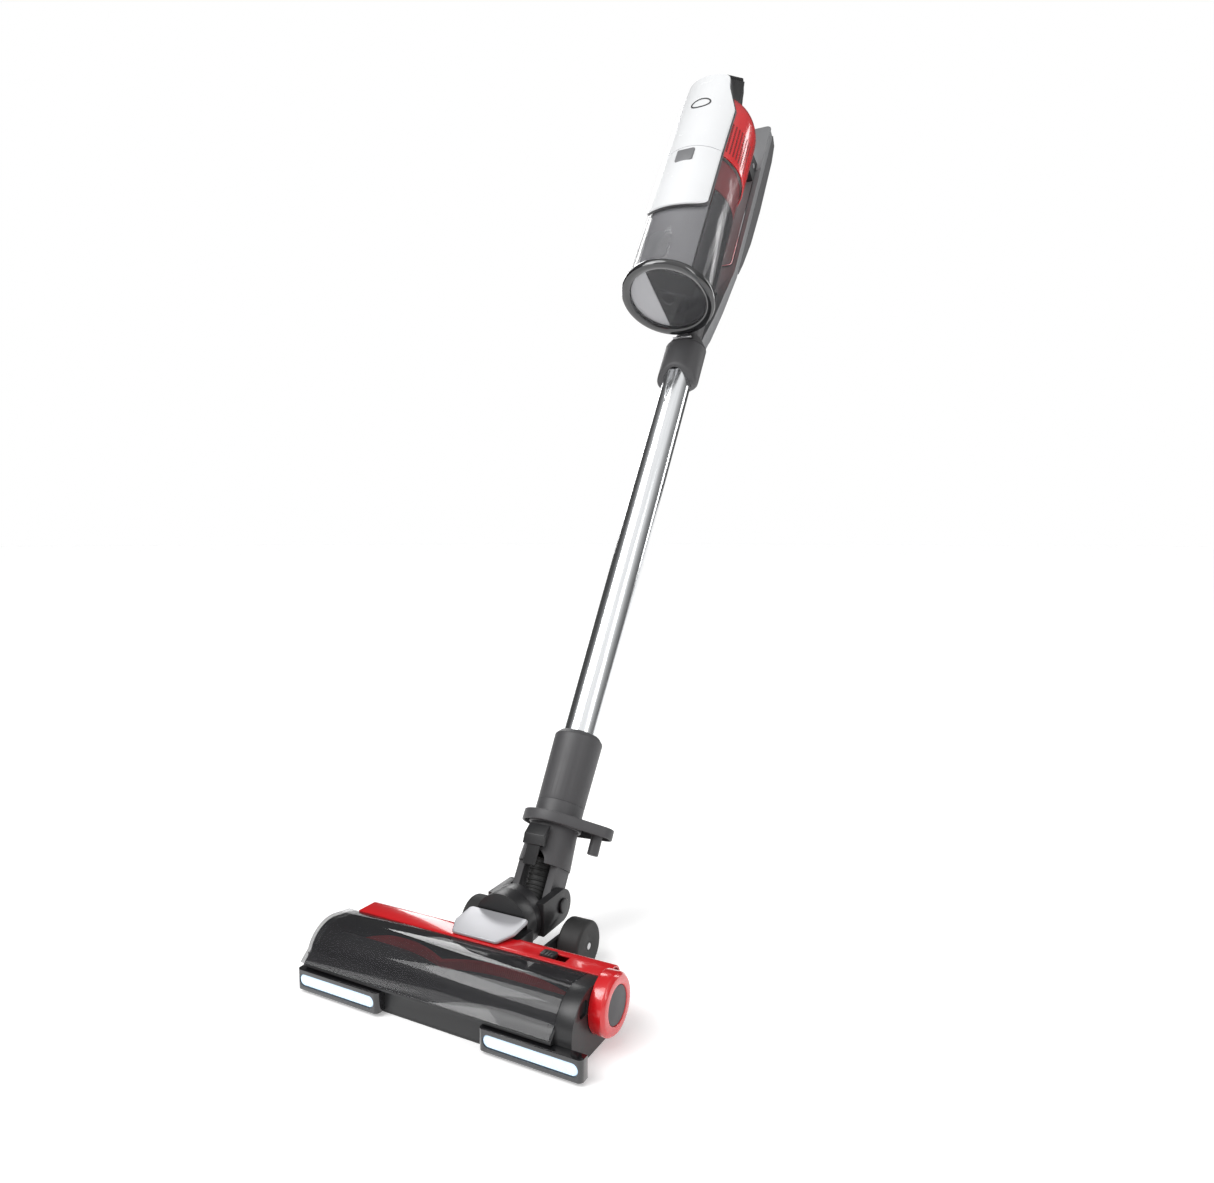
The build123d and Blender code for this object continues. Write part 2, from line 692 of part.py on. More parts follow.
def bridge_outline():
    """Side view of the black nose and bridge: local x backwards, local y up from the door ring."""
    Polygon(
        (-131, 302), (-131, 334), (-124, 342), (-118, 352), (-72, 412), (-69.5, 402), (-63, 392),
        (-50, 385), (-25, 380), (10, 379), (37.6, 384), (37.6, 367.6), (35.6, 367.6), (35.6, 346),
        (10, 350), (-14, 340), (-36, 322), (-60, 302), align=None,
    )


def dome_solid(inset):
    """Closed cylinder with a half-round top, inset from the housing's outer surface."""
    radius = SHELL_R - inset
    with BuildPart() as dome:
        with BuildSketch(hand_side()):
            with BuildLine():
                CenterArc((-BIN_V, DOME_U), radius, 0, 90)
                Polyline(
                    (-BIN_V, DOME_U + radius), (-BIN_V, COVER_SEAM),
                    (-BIN_V + radius, COVER_SEAM), (-BIN_V + radius, DOME_U),
                )
            make_face()
        revolve(axis=Axis(hand_across(0, BIN_V).origin, AXIS))
    return dome.part


PANEL_T = 4.0
panel_plane = Plane(
    origin=HAND + FRONT * 95.0 + AXIS * 382.0,
    x_dir=(1, 0, 0),
    z_dir=FRONT * 60.0 + AXIS * 46.0,
)

with BuildPart() as motor_housing:
    add(dome_solid(0))
    add(dome_solid(SHELL_WALL), mode=Mode.SUBTRACT)

with BuildPart() as handle_bridge:
    with BuildSketch(hand_side(-FLANK_X)):
        bridge_outline()
    extrude(amount=2 * FLANK_X)
    # narrow behind the panel, wider beside the cover
    with BuildSketch(hand_across(300)):
        Polygon(
            (-FLANK_X, -132), (FLANK_X, -132), (FLANK_X, -100), (NOSE_X, -74), (NOSE_X, -66),
            (BRIDGE_X, -48), (BRIDGE_X, 38), (-BRIDGE_X, 38), (-BRIDGE_X, -48), (-NOSE_X, -66),
            (-NOSE_X, -74), (-FLANK_X, -100), align=None,
        )
    extrude(amount=120, mode=Mode.INTERSECT)
    with BuildSketch(hand_facing(-40)):
        Polygon(
            (-FLANK_X, 300), (FLANK_X, 300), (FLANK_X, 340), (NOSE_X, 366), (NOSE_X, 415),
            (-NOSE_X, 415), (-NOSE_X, 366), (-FLANK_X, 340), align=None,
        )
    extrude(amount=180, mode=Mode.INTERSECT)
    with BuildSketch(hand_across(300, BIN_V)):
        Circle(120)
        Circle(SHELL_R + 0.2, mode=Mode.SUBTRACT)
    extrude(amount=42.5, mode=Mode.SUBTRACT)
    add(dome_solid(-0.1), mode=Mode.SUBTRACT)

BUTTON_R = 5.2
POWER_AT = (0, 20)
MODE_AT = (0, -2)
with BuildPart() as control_panel:
    with BuildSketch(panel_plane.offset(0.1)):
        RectangleRounded(36, 76, 6)
        with Locations(POWER_AT, MODE_AT):
            Circle(BUTTON_R + GAP, mode=Mode.SUBTRACT)
    extrude(amount=PANEL_T)

with BuildPart() as power_button:
    with BuildSketch(panel_plane.offset(2.2)):
        with Locations(POWER_AT):
            Circle(BUTTON_R)
    extrude(amount=3)

with BuildPart() as mode_button:
    with BuildSketch(panel_plane.offset(2.2)):
        with Locations(MODE_AT):
            Circle(BUTTON_R)
    extrude(amount=3)

COVER_R = (54.9, 58.2)
with BuildPart() as upper_cover:
    with BuildSketch(hand_across(COVER_SEAM + 0.3, BIN_V)):
        Circle(COVER_R[1])
        Circle(COVER_R[0], mode=Mode.SUBTRACT)
    extrude(amount=140)
    with BuildSketch(hand_facing(BIN_V)):
        Polygon(
            (-40, COVER_SEAM), (40, COVER_SEAM), (41, 285), (30, 320), (27, 342),
            (-27, 342), (-30, 320), (-41, 285), align=None,
        )
    extrude(amount=70, mode=Mode.INTERSECT)

EMBLEM_U = 286.0
with BuildPart() as cover_emblem:
    with BuildSketch(hand_facing(BIN_V, EMBLEM_U)):
        Ellipse(14, 9)
    extrude(amount=70)
    with BuildSketch(hand_across(EMBLEM_U - 12, BIN_V)):
        Circle(COVER_R[1] + 0.9)
    extrude(amount=24, mode=Mode.INTERSECT)
    with BuildSketch(hand_across(EMBLEM_U - 12, BIN_V)):
        Circle(COVER_R[1] + 0.05)
    extrude(amount=24, mode=Mode.SUBTRACT)

BAR_X = 19.5
with BuildPart() as handle_bar:
    with BuildSketch(hand_side(-BAR_X)):
        Polygon(
            (37.8, 165), (37.8, 466), (46, 468), (49.2, 462), (49.2, 165), (45, 95), (38, 40),
            (29, 8), (21, -8), (17, 2), (16.5, 22), (27, 70), align=None,
        )
    extrude(amount=2 * BAR_X)
    with BuildSketch(hand_facing(0)):
        Polygon(
            (-BAR_X, 457), (-BAR_X, 165), (-10, 30), (-10, -10), (10, -10), (10, 30),
            (BAR_X, 165), (BAR_X, 457), (17.5, 464), (12, 469), (-12, 469), (-17.5, 464),
            align=None,
        )
    extrude(amount=-70, mode=Mode.INTERSECT)
    # charging socket pocket
    with BuildSketch(hand_facing(-30, 120)):
        Circle(4.6)
    extrude(amount=-30, mode=Mode.SUBTRACT)

with BuildPart() as charge_socket:
    with BuildSketch(hand_facing(-35.5, 120)):
        Circle(4.5)
    extrude(amount=-11)
    with BuildSketch(hand_facing(-34, 120)):
        Circle(2.8)
    extrude(amount=-14, mode=Mode.SUBTRACT)

with BuildPart() as grip_inlay:
    with BuildSketch(hand_facing(-37.7, 272)):
        RectangleRounded(26, 190, 4)
    extrude(amount=1.8)

BATTERY_V = 49.6
with BuildPart() as battery_pack:
    with BuildSketch(hand_side(-BAR_X)):
        Polygon(
            (BATTERY_V, 166), (58, 200), (66, 250), (69, 320), (67, 425), (62, 455),
            (BATTERY_V, 462), align=None,
        )
    extrude(amount=2 * BAR_X)
    fillet(edges().filter_by(Plane.YZ, reverse=True).filter_by(GeomType.LINE).sort_by(Axis.Z)[:2], 1)
    with BuildSketch(hand_facing(-60, 405)):
        RectangleRounded(19, 27, 3)
    extrude(amount=-20, mode=Mode.SUBTRACT)

with BuildPart() as battery_latch:
    with BuildSketch(hand_facing(-60.3, 404)):
        RectangleRounded(18, 21, 2.5)
    extrude(amount=-8)

FAN_U = 226.0
with BuildPart() as fan_motor:
    with BuildSketch(hand_across(FAN_U, BIN_V)):
        Circle(36)
    extrude(amount=74)
    with BuildSketch(hand_across(FAN_U - 1, BIN_V)):
        Circle(2.5 + RUN)
    extrude(amount=80, mode=Mode.SUBTRACT)

with BuildPart() as motor_shaft:
    with BuildSketch(hand_across(208, BIN_V)):
        Circle(2.5)
    extrude(amount=88)

BLADES = 9
with BuildPart() as impeller:
    with BuildSketch(hand_across(210, BIN_V)):
        Circle(33)
        Circle(2.5, mode=Mode.SUBTRACT)
    extrude(amount=2)
    with BuildSketch(hand_across(211.5, BIN_V)):
        Circle(8)
        with PolarLocations(19, BLADES):
            Rectangle(24, 1.6)
        Circle(2.5, mode=Mode.SUBTRACT)
    extrude(amount=10)

with BuildPart() as exhaust_filter:
    with BuildSketch(hand_across(215, BIN_V)):
        Circle(51.5)
        Circle(41, mode=Mode.SUBTRACT)
    extrude(amount=78)

with BuildPart() as housing_screws:
    for x, amount in ((BRIDGE_X, 1.4), (-BRIDGE_X, -1.4)):
        with BuildSketch(hand_side(x)):
            with Locations((0, 365), (25, 365)):
                Circle(3.2)
        extrude(amount=amount)


# ---- dust bin ------------------------------------------------------------------------------------
LUG_X = 6.7
with BuildPart() as bin_shell:
    with BuildSketch(hand_across(DOOR_T + GAP, BIN_V)):
        Circle(BIN_R)
    extrude(amount=BIN_TOP - DOOR_T - GAP)
    # lug of the door hinge
    with BuildSketch(hand_side(-LUG_X)):
        Polygon(
            (-HINGE_V - 3.0, HINGE_U), (-HINGE_V + 1.4, HINGE_U), (-16.6, 0), (-16.6, 14), (-22, 26),
            (-22, DOOR_T + GAP), (-19.8, DOOR_T), (-19.8, 0), align=None,
        )
        with Locations((-HINGE_V, HINGE_U)):
            Circle(3.0)
    extrude(amount=2 * LUG_X)
    with BuildSketch(hand_across(DOOR_T, BIN_V)):
        Circle(BIN_R - WALL)
    extrude(amount=BIN_TOP, mode=Mode.SUBTRACT)
    with BuildSketch(hand_side(-LUG_X)):
        with Locations((-HINGE_V, HINGE_U)):
            Circle(1.5)
    extrude(amount=2 * LUG_X, mode=Mode.SUBTRACT)
    # air inlet port
    with BuildSketch(hand_facing(0, PORT_U)):
        Circle(10)
    extrude(amount=60, mode=Mode.SUBTRACT)

with BuildPart() as door_hinge_pin:
    with BuildSketch(hand_side(-12)):
        with Locations((-HINGE_V, HINGE_U)):
            Circle(1.5)
    extrude(amount=24)

LINER_ANGLE = 52.0       # the black liner starts this far from the front on both sides
liner_x = 70 * sin(radians(LINER_ANGLE))
liner_y = 70 * cos(radians(LINER_ANGLE))
with BuildPart() as bin_liner:
    with BuildSketch(hand_across(DOOR_T + 1.5, BIN_V)):
        Circle(BIN_R - WALL - 0.2)
        Circle(BIN_R - WALL - 2.2, mode=Mode.SUBTRACT)
        Polygon((0, 0), (-liner_x, -liner_y), (-80, -90), (80, -90), (liner_x, -liner_y), align=None, mode=Mode.SUBTRACT)
    extrude(amount=134)
    with BuildSketch(hand_facing(0, PORT_U)):
        Circle(10)
    extrude(amount=60, mode=Mode.SUBTRACT)

with BuildPart() as cyclone_shroud:
    with BuildSketch(hand_across(78, BIN_V)):
        Circle(29)
        Circle(27, mode=Mode.SUBTRACT)
    extrude(amount=68)
    with BuildSketch(hand_across(76, BIN_V)):
        Circle(33)
        Circle(27, mode=Mode.SUBTRACT)
    extrude(amount=2.2)

with BuildPart() as cyclone_cone:
    with BuildSketch(hand_across(56, BIN_V)):
        Circle(9)
    with BuildSketch(hand_across(146, BIN_V)):
        Circle(24)
    loft()
    with BuildSketch(hand_across(55, BIN_V)):
        Circle(7)
    with BuildSketch(hand_across(147, BIN_V)):
        Circle(22)
    loft(mode=Mode.SUBTRACT)

with BuildPart() as pre_filter:
    with BuildSketch(hand_across(148, BIN_V)):
        Circle(51)
    extrude(amount=50)
    with BuildSketch(hand_across(151, BIN_V)):
        Circle(48)
    extrude(amount=60, mode=Mode.SUBTRACT)
    with BuildSketch(hand_across(147, BIN_V)):
        Circle(20)
    extrude(amount=20, mode=Mode.SUBTRACT)

LOWER_COVER_U = 98.0
LOWER_COVER_CORNER_U = 118.0
COVER_X = 40.0
BIN_BUTTON_U = 187.0
with BuildPart() as lower_cover:
    with BuildSketch(hand_across(LOWER_COVER_U, BIN_V)):
        Circle(COVER_R[1])
        Circle(BIN_R + 0.1, mode=Mode.SUBTRACT)
    extrude(amount=BIN_TOP + 1 - LOWER_COVER_U)
    with BuildSketch(hand_facing(BIN_V, LOWER_COVER_CORNER_U)):
        Ellipse(COVER_X, LOWER_COVER_CORNER_U - LOWER_COVER_U)
        with Locations((0, 50)):
            Rectangle(2 * COVER_X, 100)
    extrude(amount=70, mode=Mode.INTERSECT)
    with BuildSketch(hand_facing(BIN_V, BIN_BUTTON_U)):
        Rectangle(24.6, 22.6)
    extrude(amount=70, mode=Mode.SUBTRACT)

BUTTON_V = BIN_V + BIN_R + 2.2
with BuildPart() as bin_release_button:
    with BuildSketch(hand_facing(BUTTON_V, BIN_BUTTON_U)):
        RectangleRounded(23.6, 21.6, 3)
    extrude(amount=2.4)


# ---- bin door ------------------------------------------------------------------------------------
with BuildPart() as door_ring:
    with BuildSketch(hand_across(0, BIN_V)):
        Circle(DOOR_R)
    extrude(amount=DOOR_T)
    fillet(faces().sort_by(SortBy.AREA)[-1].edges(), 0.8)
    with BuildSketch(hand_across(-1, BIN_V)):
        Circle(50)
    extrude(amount=20, mode=Mode.SUBTRACT)
    with BuildSketch(hand_across(3, BIN_V)):
        Circle(51.5)
    extrude(amount=2.2, mode=Mode.SUBTRACT)
    with BuildSketch(hand_across(-1)):
        with Locations((0, -15)):
            Rectangle(2 * LUG_X + 1, 11)
    extrude(amount=20, mode=Mode.SUBTRACT)
    for x in (LUG_X + 0.4, -12.0):
        with BuildSketch(hand_side(x)):
            Polygon(
                (-HINGE_V - 3.0, HINGE_U), (-HINGE_V + 3.0, HINGE_U), (-HINGE_V + 2.4, 1), (-25, 1), align=None,
            )
            with Locations((-HINGE_V, HINGE_U)):
                Circle(3.0)
        extrude(amount=12.0 - LUG_X - 0.4)
    with BuildSketch(hand_side(-20)):
        with Locations((-HINGE_V, HINGE_U)):
            Circle(1.5 + RUN)
    extrude(amount=40, mode=Mode.SUBTRACT)

with BuildPart() as door_pane:
    with BuildSketch(hand_across(3.1, BIN_V)):
        Circle(51.3)
    extrude(amount=2)
    with BuildSketch(hand_across(1.0, BIN_V)):
        Circle(7)
    extrude(amount=7)

with BuildPart() as door_seal:
    with BuildSketch(hand_across(5.3, BIN_V)):
        Circle(49.8)
        Circle(47, mode=Mode.SUBTRACT)
    extrude(amount=3.2)

with BuildPart() as door_latch:
    with BuildSketch(hand_across(DOOR_T + 2.5, BIN_V)):
        Circle(BIN_R + 4.6)
        Circle(BIN_R + 0.5, mode=Mode.SUBTRACT)
    extrude(amount=41)
    with BuildSketch(hand_facing(BIN_V, DOOR_T + 23)):
        RectangleRounded(26, 41, 5)
    extrude(amount=70, mode=Mode.INTERSECT)


# ================================ export =======================================================
pieces = {
    "base_housing": base_housing,
    "sole_plate": sole_plate,
    "brush_window": brush_window,
    "motor_cover": motor_cover,
    "window_latch": window_latch,
    "badge_plate": badge_plate,
    "drive_cover": drive_cover,
    "drive_cover_inlay": drive_cover_inlay,
    "light_housings": light_housings,
    "light_lenses": light_lenses,
    "brush_motor": brush_motor,
    "motor_pulley": motor_pulley,
    "drive_belt": drive_belt,
    "wheel_axles": wheel_axles,
    "head_screws": head_screws,
    "brush_core": brush_core,
    "red_bristles": red_bristles,
    "black_bristles": black_bristles,
    "right_wheel": right_wheel,
    "left_wheel": left_wheel,
    "knuckle_body": knuckle_body,
    "neck_hinge_pins": neck_hinge_pins,
    "neck_tube": neck_tube,
    "head_latch": head_latch,
    "accessory_ring": accessory_ring,
    "flexible_hose": flexible_hose,
    "lower_collar": lower_collar,
    "wand_tube": wand_tube,
    "upper_sleeve": upper_sleeve,
    "wand_latch": wand_latch,
    "inlet_duct": inlet_duct,
    "motor_housing": motor_housing,
    "handle_bridge": handle_bridge,
    "control_panel": control_panel,
    "power_button": power_button,
    "mode_button": mode_button,
    "upper_cover": upper_cover,
    "cover_emblem": cover_emblem,
    "handle_bar": handle_bar,
    "charge_socket": charge_socket,
    "grip_inlay": grip_inlay,
    "battery_pack": battery_pack,
    "battery_latch": battery_latch,
    "fan_motor": fan_motor,
    "motor_shaft": motor_shaft,
    "impeller": impeller,
    "exhaust_filter": exhaust_filter,
    "housing_screws": housing_screws,
    "bin_shell": bin_shell,
    "door_hinge_pin": door_hinge_pin,
    "bin_liner": bin_liner,
    "cyclone_shroud": cyclone_shroud,
    "cyclone_cone": cyclone_cone,
    "pre_filter": pre_filter,
    "lower_cover": lower_cover,
    "bin_release_button": bin_release_button,
    "door_ring": door_ring,
    "door_pane": door_pane,
    "door_seal": door_seal,
    "door_latch": door_latch,
}

os.makedirs("parts", exist_ok=True)
for label, piece in pieces.items():
    piece.part.label = label
    export_step(piece.part, f"parts/{label}.step")
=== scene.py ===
import json
from math import atan, cos, pi, radians, sin, sqrt

import bmesh
import bpy
from mathutils import Matrix, Vector

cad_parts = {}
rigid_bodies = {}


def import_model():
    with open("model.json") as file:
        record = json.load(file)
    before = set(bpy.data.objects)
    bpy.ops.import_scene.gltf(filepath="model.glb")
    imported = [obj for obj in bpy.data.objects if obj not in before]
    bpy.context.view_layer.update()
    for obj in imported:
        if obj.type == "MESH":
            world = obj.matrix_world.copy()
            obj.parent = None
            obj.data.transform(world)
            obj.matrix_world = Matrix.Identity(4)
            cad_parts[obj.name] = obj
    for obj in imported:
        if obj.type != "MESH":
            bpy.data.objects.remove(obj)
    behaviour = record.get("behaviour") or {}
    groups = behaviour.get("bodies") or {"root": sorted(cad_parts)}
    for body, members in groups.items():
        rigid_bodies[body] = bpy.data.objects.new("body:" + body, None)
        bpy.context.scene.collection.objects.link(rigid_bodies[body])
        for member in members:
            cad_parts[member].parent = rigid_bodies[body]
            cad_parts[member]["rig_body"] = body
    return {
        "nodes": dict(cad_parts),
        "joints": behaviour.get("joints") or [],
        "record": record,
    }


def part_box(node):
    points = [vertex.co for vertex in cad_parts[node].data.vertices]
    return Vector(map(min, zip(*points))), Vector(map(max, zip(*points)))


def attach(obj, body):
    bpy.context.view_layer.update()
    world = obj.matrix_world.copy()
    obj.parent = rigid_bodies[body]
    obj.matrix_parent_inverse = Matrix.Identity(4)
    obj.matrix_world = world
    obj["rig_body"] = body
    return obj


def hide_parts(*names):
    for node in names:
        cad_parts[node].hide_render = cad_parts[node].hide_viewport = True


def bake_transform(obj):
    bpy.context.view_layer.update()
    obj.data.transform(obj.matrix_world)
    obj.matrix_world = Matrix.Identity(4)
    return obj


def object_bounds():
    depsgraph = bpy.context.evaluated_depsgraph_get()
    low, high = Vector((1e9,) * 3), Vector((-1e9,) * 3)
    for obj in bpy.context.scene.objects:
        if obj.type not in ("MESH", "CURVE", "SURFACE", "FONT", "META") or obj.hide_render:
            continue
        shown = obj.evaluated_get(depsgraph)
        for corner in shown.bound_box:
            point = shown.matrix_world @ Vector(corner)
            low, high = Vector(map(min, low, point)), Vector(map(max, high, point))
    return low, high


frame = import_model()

bl_info = {
    "name": "Upright Vacuum Cleaner",
    "version": (1, 0, 0),
    "blender": (4, 5, 0),
    "location": "View3D > Sidebar > Vacuum",
    "description": "Dresses the packed cordless upright vacuum cleaner with finished pieces and materials",
    "category": "Object",
}

CAD_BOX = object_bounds()
MM = 0.001

# ---- places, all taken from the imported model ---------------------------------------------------
JOINTS = {joint["name"]: joint for joint in frame["joints"]}
BODY_OF = {node: body for body, nodes in frame["record"]["behaviour"]["bodies"].items() for node in nodes}
PIVOT = Vector(JOINTS["neck_pitch"]["pos_m"])
UP_WAND = Vector(JOINTS["fan_spin"]["axis"])
FORWARD = Vector((0, -UP_WAND.z, UP_WAND.y))
LEAN = atan(UP_WAND.y / UP_WAND.z)
HINGE_V, HINGE_U = 18.0, -5.0
RING = Vector(JOINTS["bin_door_swing"]["pos_m"]) - FORWARD * HINGE_V * MM - UP_WAND * HINGE_U * MM
BIN_V = (Vector(JOINTS["fan_spin"]["pos_m"]) - RING).dot(FORWARD) / MM
FRONT_Y = CAD_BOX[0].y


def local_frame(origin, lean=0.0):
    """Millimetre coordinates at origin, leaned back like the wand if asked."""
    return Matrix.Translation(origin) @ Matrix.Rotation(-lean, 4, "X") @ Matrix.Scale(MM, 4)


HEAD = local_frame(Vector((0, FRONT_Y, 0)))
WAND = local_frame(PIVOT, LEAN)
HAND = local_frame(RING, LEAN)
BIN = local_frame(RING + FORWARD * BIN_V * MM, LEAN)


# ---- settings ----------------------------------------------------------------------------------
def colour_property(name, value, description):
    return bpy.props.FloatVectorProperty(
        name=name, subtype="COLOR", size=3, min=0.0, max=1.0, default=value, description=description
    )


def size_property(name, value, description):
    return bpy.props.FloatProperty(name=name, default=value, min=0.0, description=description)


class VacuumColours(bpy.types.PropertyGroup):
    red: colour_property("Red", (0.62, 0.008, 0.012), "Gloss red of the motor housing and head covers")
    silver: colour_property("Silver", (0.80, 0.81, 0.82), "Pale front covers")
    dark_grey: colour_property("Dark grey", (0.058, 0.057, 0.060), "Sleeve, collar and neck")
    black: colour_property("Black", (0.014, 0.014, 0.015), "Structural plastic")
    mid_grey: colour_property("Mid grey", (0.17, 0.172, 0.178), "Rear handle")
    smoke: colour_property("Smoke", (0.035, 0.035, 0.038), "Tint of the brush window")
    clear: colour_property("Clear", (0.20, 0.20, 0.21), "Tint of the dust bin")
    light: colour_property("Light", (0.62, 0.80, 1.0), "Floor lights")


class VacuumSizes(bpy.types.PropertyGroup):
    vent_columns: bpy.props.IntProperty(
        name="Vent columns", default=8, min=1, description="Vent slots across",
    )
    vent_rows: bpy.props.IntProperty(
        name="Vent rows", default=15, min=1, description="Vent slots up the housing",
    )
    vent_width: size_property("Vent width", 2.6, "Width of one vent slot in millimetres")
    vent_height: size_property("Vent height", 2.3, "Height of one vent slot in millimetres")
    light_count: bpy.props.IntProperty(name="Lights", default=9, min=1, description="Light dots in each lens")
    tuft_count: bpy.props.IntProperty(name="Tufts", default=70, min=2, description="Tufts in each half strip")
    edge: size_property("Edge radius", 0.7, "Rounding of moulded edges in millimetres")


def sizes():
    return bpy.context.scene.vacuum_sizes


def colours():
    return bpy.context.scene.vacuum_colours


# ---- materials -----------------------------------------------------------------------------------
def new_material(name):
    material = bpy.data.materials.new(name)
    material.use_nodes = True
    return material, material.node_tree.nodes["Principled BSDF"], material.node_tree


def object_noise(tree, scale, detail=3.0, stretch=(1, 1, 1)):
    """Noise on object coordinates, in features per metre."""
    place = tree.nodes.new("ShaderNodeTexCoord")
    mapping = tree.nodes.new("ShaderNodeMapping")
    mapping.inputs["Scale"].default_value = stretch
    noise = tree.nodes.new("ShaderNodeTexNoise")
    noise.inputs["Scale"].default_value = scale
    noise.inputs["Detail"].default_value = detail
    tree.links.new(place.outputs["Object"], mapping.inputs["Vector"])
    tree.links.new(mapping.outputs["Vector"], noise.inputs["Vector"])
    return noise


def vary_colour(tree, shader, colour, noise, amount):
    ramp = tree.nodes.new("ShaderNodeValToRGB")
    ramp.color_ramp.elements[0].position = 0.3
    ramp.color_ramp.elements[1].position = 0.7
    ramp.color_ramp.elements[0].color = (*[c * (1 - amount) for c in colour], 1)
    ramp.color_ramp.elements[1].color = (*[min(1, c * (1 + amount)) for c in colour], 1)
    tree.links.new(noise.outputs["Fac"], ramp.inputs["Fac"])
    tree.links.new(ramp.outputs["Color"], shader.inputs["Base Color"])


def vary_roughness(tree, shader, low, high, noise):
    spread = tree.nodes.new("ShaderNodeMapRange")
    spread.inputs["To Min"].default_value = low
    spread.inputs["To Max"].default_value = high
    tree.links.new(noise.outputs["Fac"], spread.inputs["Value"])
    tree.links.new(spread.outputs["Result"], shader.inputs["Roughness"])


def add_bump(tree, shader, noise, strength, distance):
    bump = tree.nodes.new("ShaderNodeBump")
    bump.inputs["Strength"].default_value = strength
    bump.inputs["Distance"].default_value = distance
    tree.links.new(noise.outputs["Fac"], bump.inputs["Height"])
    tree.links.new(bump.outputs["Normal"], shader.inputs["Normal"])


def plastic(
    name, colour, roughness, grain=900.0, grain_strength=0.12, coat=0.0, variation=0.05, metallic=0.0,
):
    """Moulded plastic: slow colour drift, uneven sheen and a fine grain."""
    material, shader, tree = new_material(name)
    shader.inputs["Base Color"].default_value = (*colour, 1)
    shader.inputs["Metallic"].default_value = metallic
    shader.inputs["Coat Weight"].default_value = coat
    shader.inputs["Coat Roughness"].default_value = 0.06
    slow = object_noise(tree, 14.0)
    vary_colour(tree, shader, colour, slow, variation)
    vary_roughness(tree, shader, roughness * 0.85, roughness * 1.15, object_noise(tree, 60.0))
    add_bump(tree, shader, object_noise(tree, grain, 2.0), grain_strength, 0.0002)
    return material


def brushed_metal(name, colour, roughness):
    """Drawn tube: fine lines along its length."""
    material, shader, tree = new_material(name)
    shader.inputs["Metallic"].default_value = 1.0
    lines = object_noise(tree, 700.0, 2.0, stretch=(1, 0.03, 0.02))
    vary_colour(tree, shader, colour, lines, 0.04)
    vary_roughness(tree, shader, roughness * 0.7, roughness * 1.3, lines)
    add_bump(tree, shader, lines, 0.03, 0.0001)
    return material


def see_through(name, colour, alpha, roughness=0.05):
    """Clear or smoked moulding, with a faint swirl in its sheen."""
    material, shader, tree = new_material(name)
    shader.inputs["Alpha"].default_value = alpha
    shader.inputs["Coat Weight"].default_value = 0.6
    shader.inputs["Coat Roughness"].default_value = 0.03
    shader.inputs["IOR"].default_value = 1.5
    vary_colour(tree, shader, colour, object_noise(tree, 10.0), 0.08)
    vary_roughness(tree, shader, roughness * 0.6, roughness * 1.6, object_noise(tree, 40.0))
    material.surface_render_method = "BLENDED"
    return material


def glowing(name, colour, strength):
    material, shader, tree = new_material(name)
    shader.inputs["Emission Strength"].default_value = strength
    shader.inputs["Roughness"].default_value = 0.25
    vary_colour(tree, shader, colour, object_noise(tree, 120.0), 0.05)
    glow = object_noise(tree, 90.0)
    ramp = tree.nodes.new("ShaderNodeValToRGB")
    ramp.color_ramp.elements[0].color = (*[c * 0.82 for c in colour], 1)
    ramp.color_ramp.elements[1].color = (*colour, 1)
    tree.links.new(glow.outputs["Fac"], ramp.inputs["Fac"])
    tree.links.new(ramp.outputs["Color"], shader.inputs["Emission Color"])
    return material


MATERIALS = {}


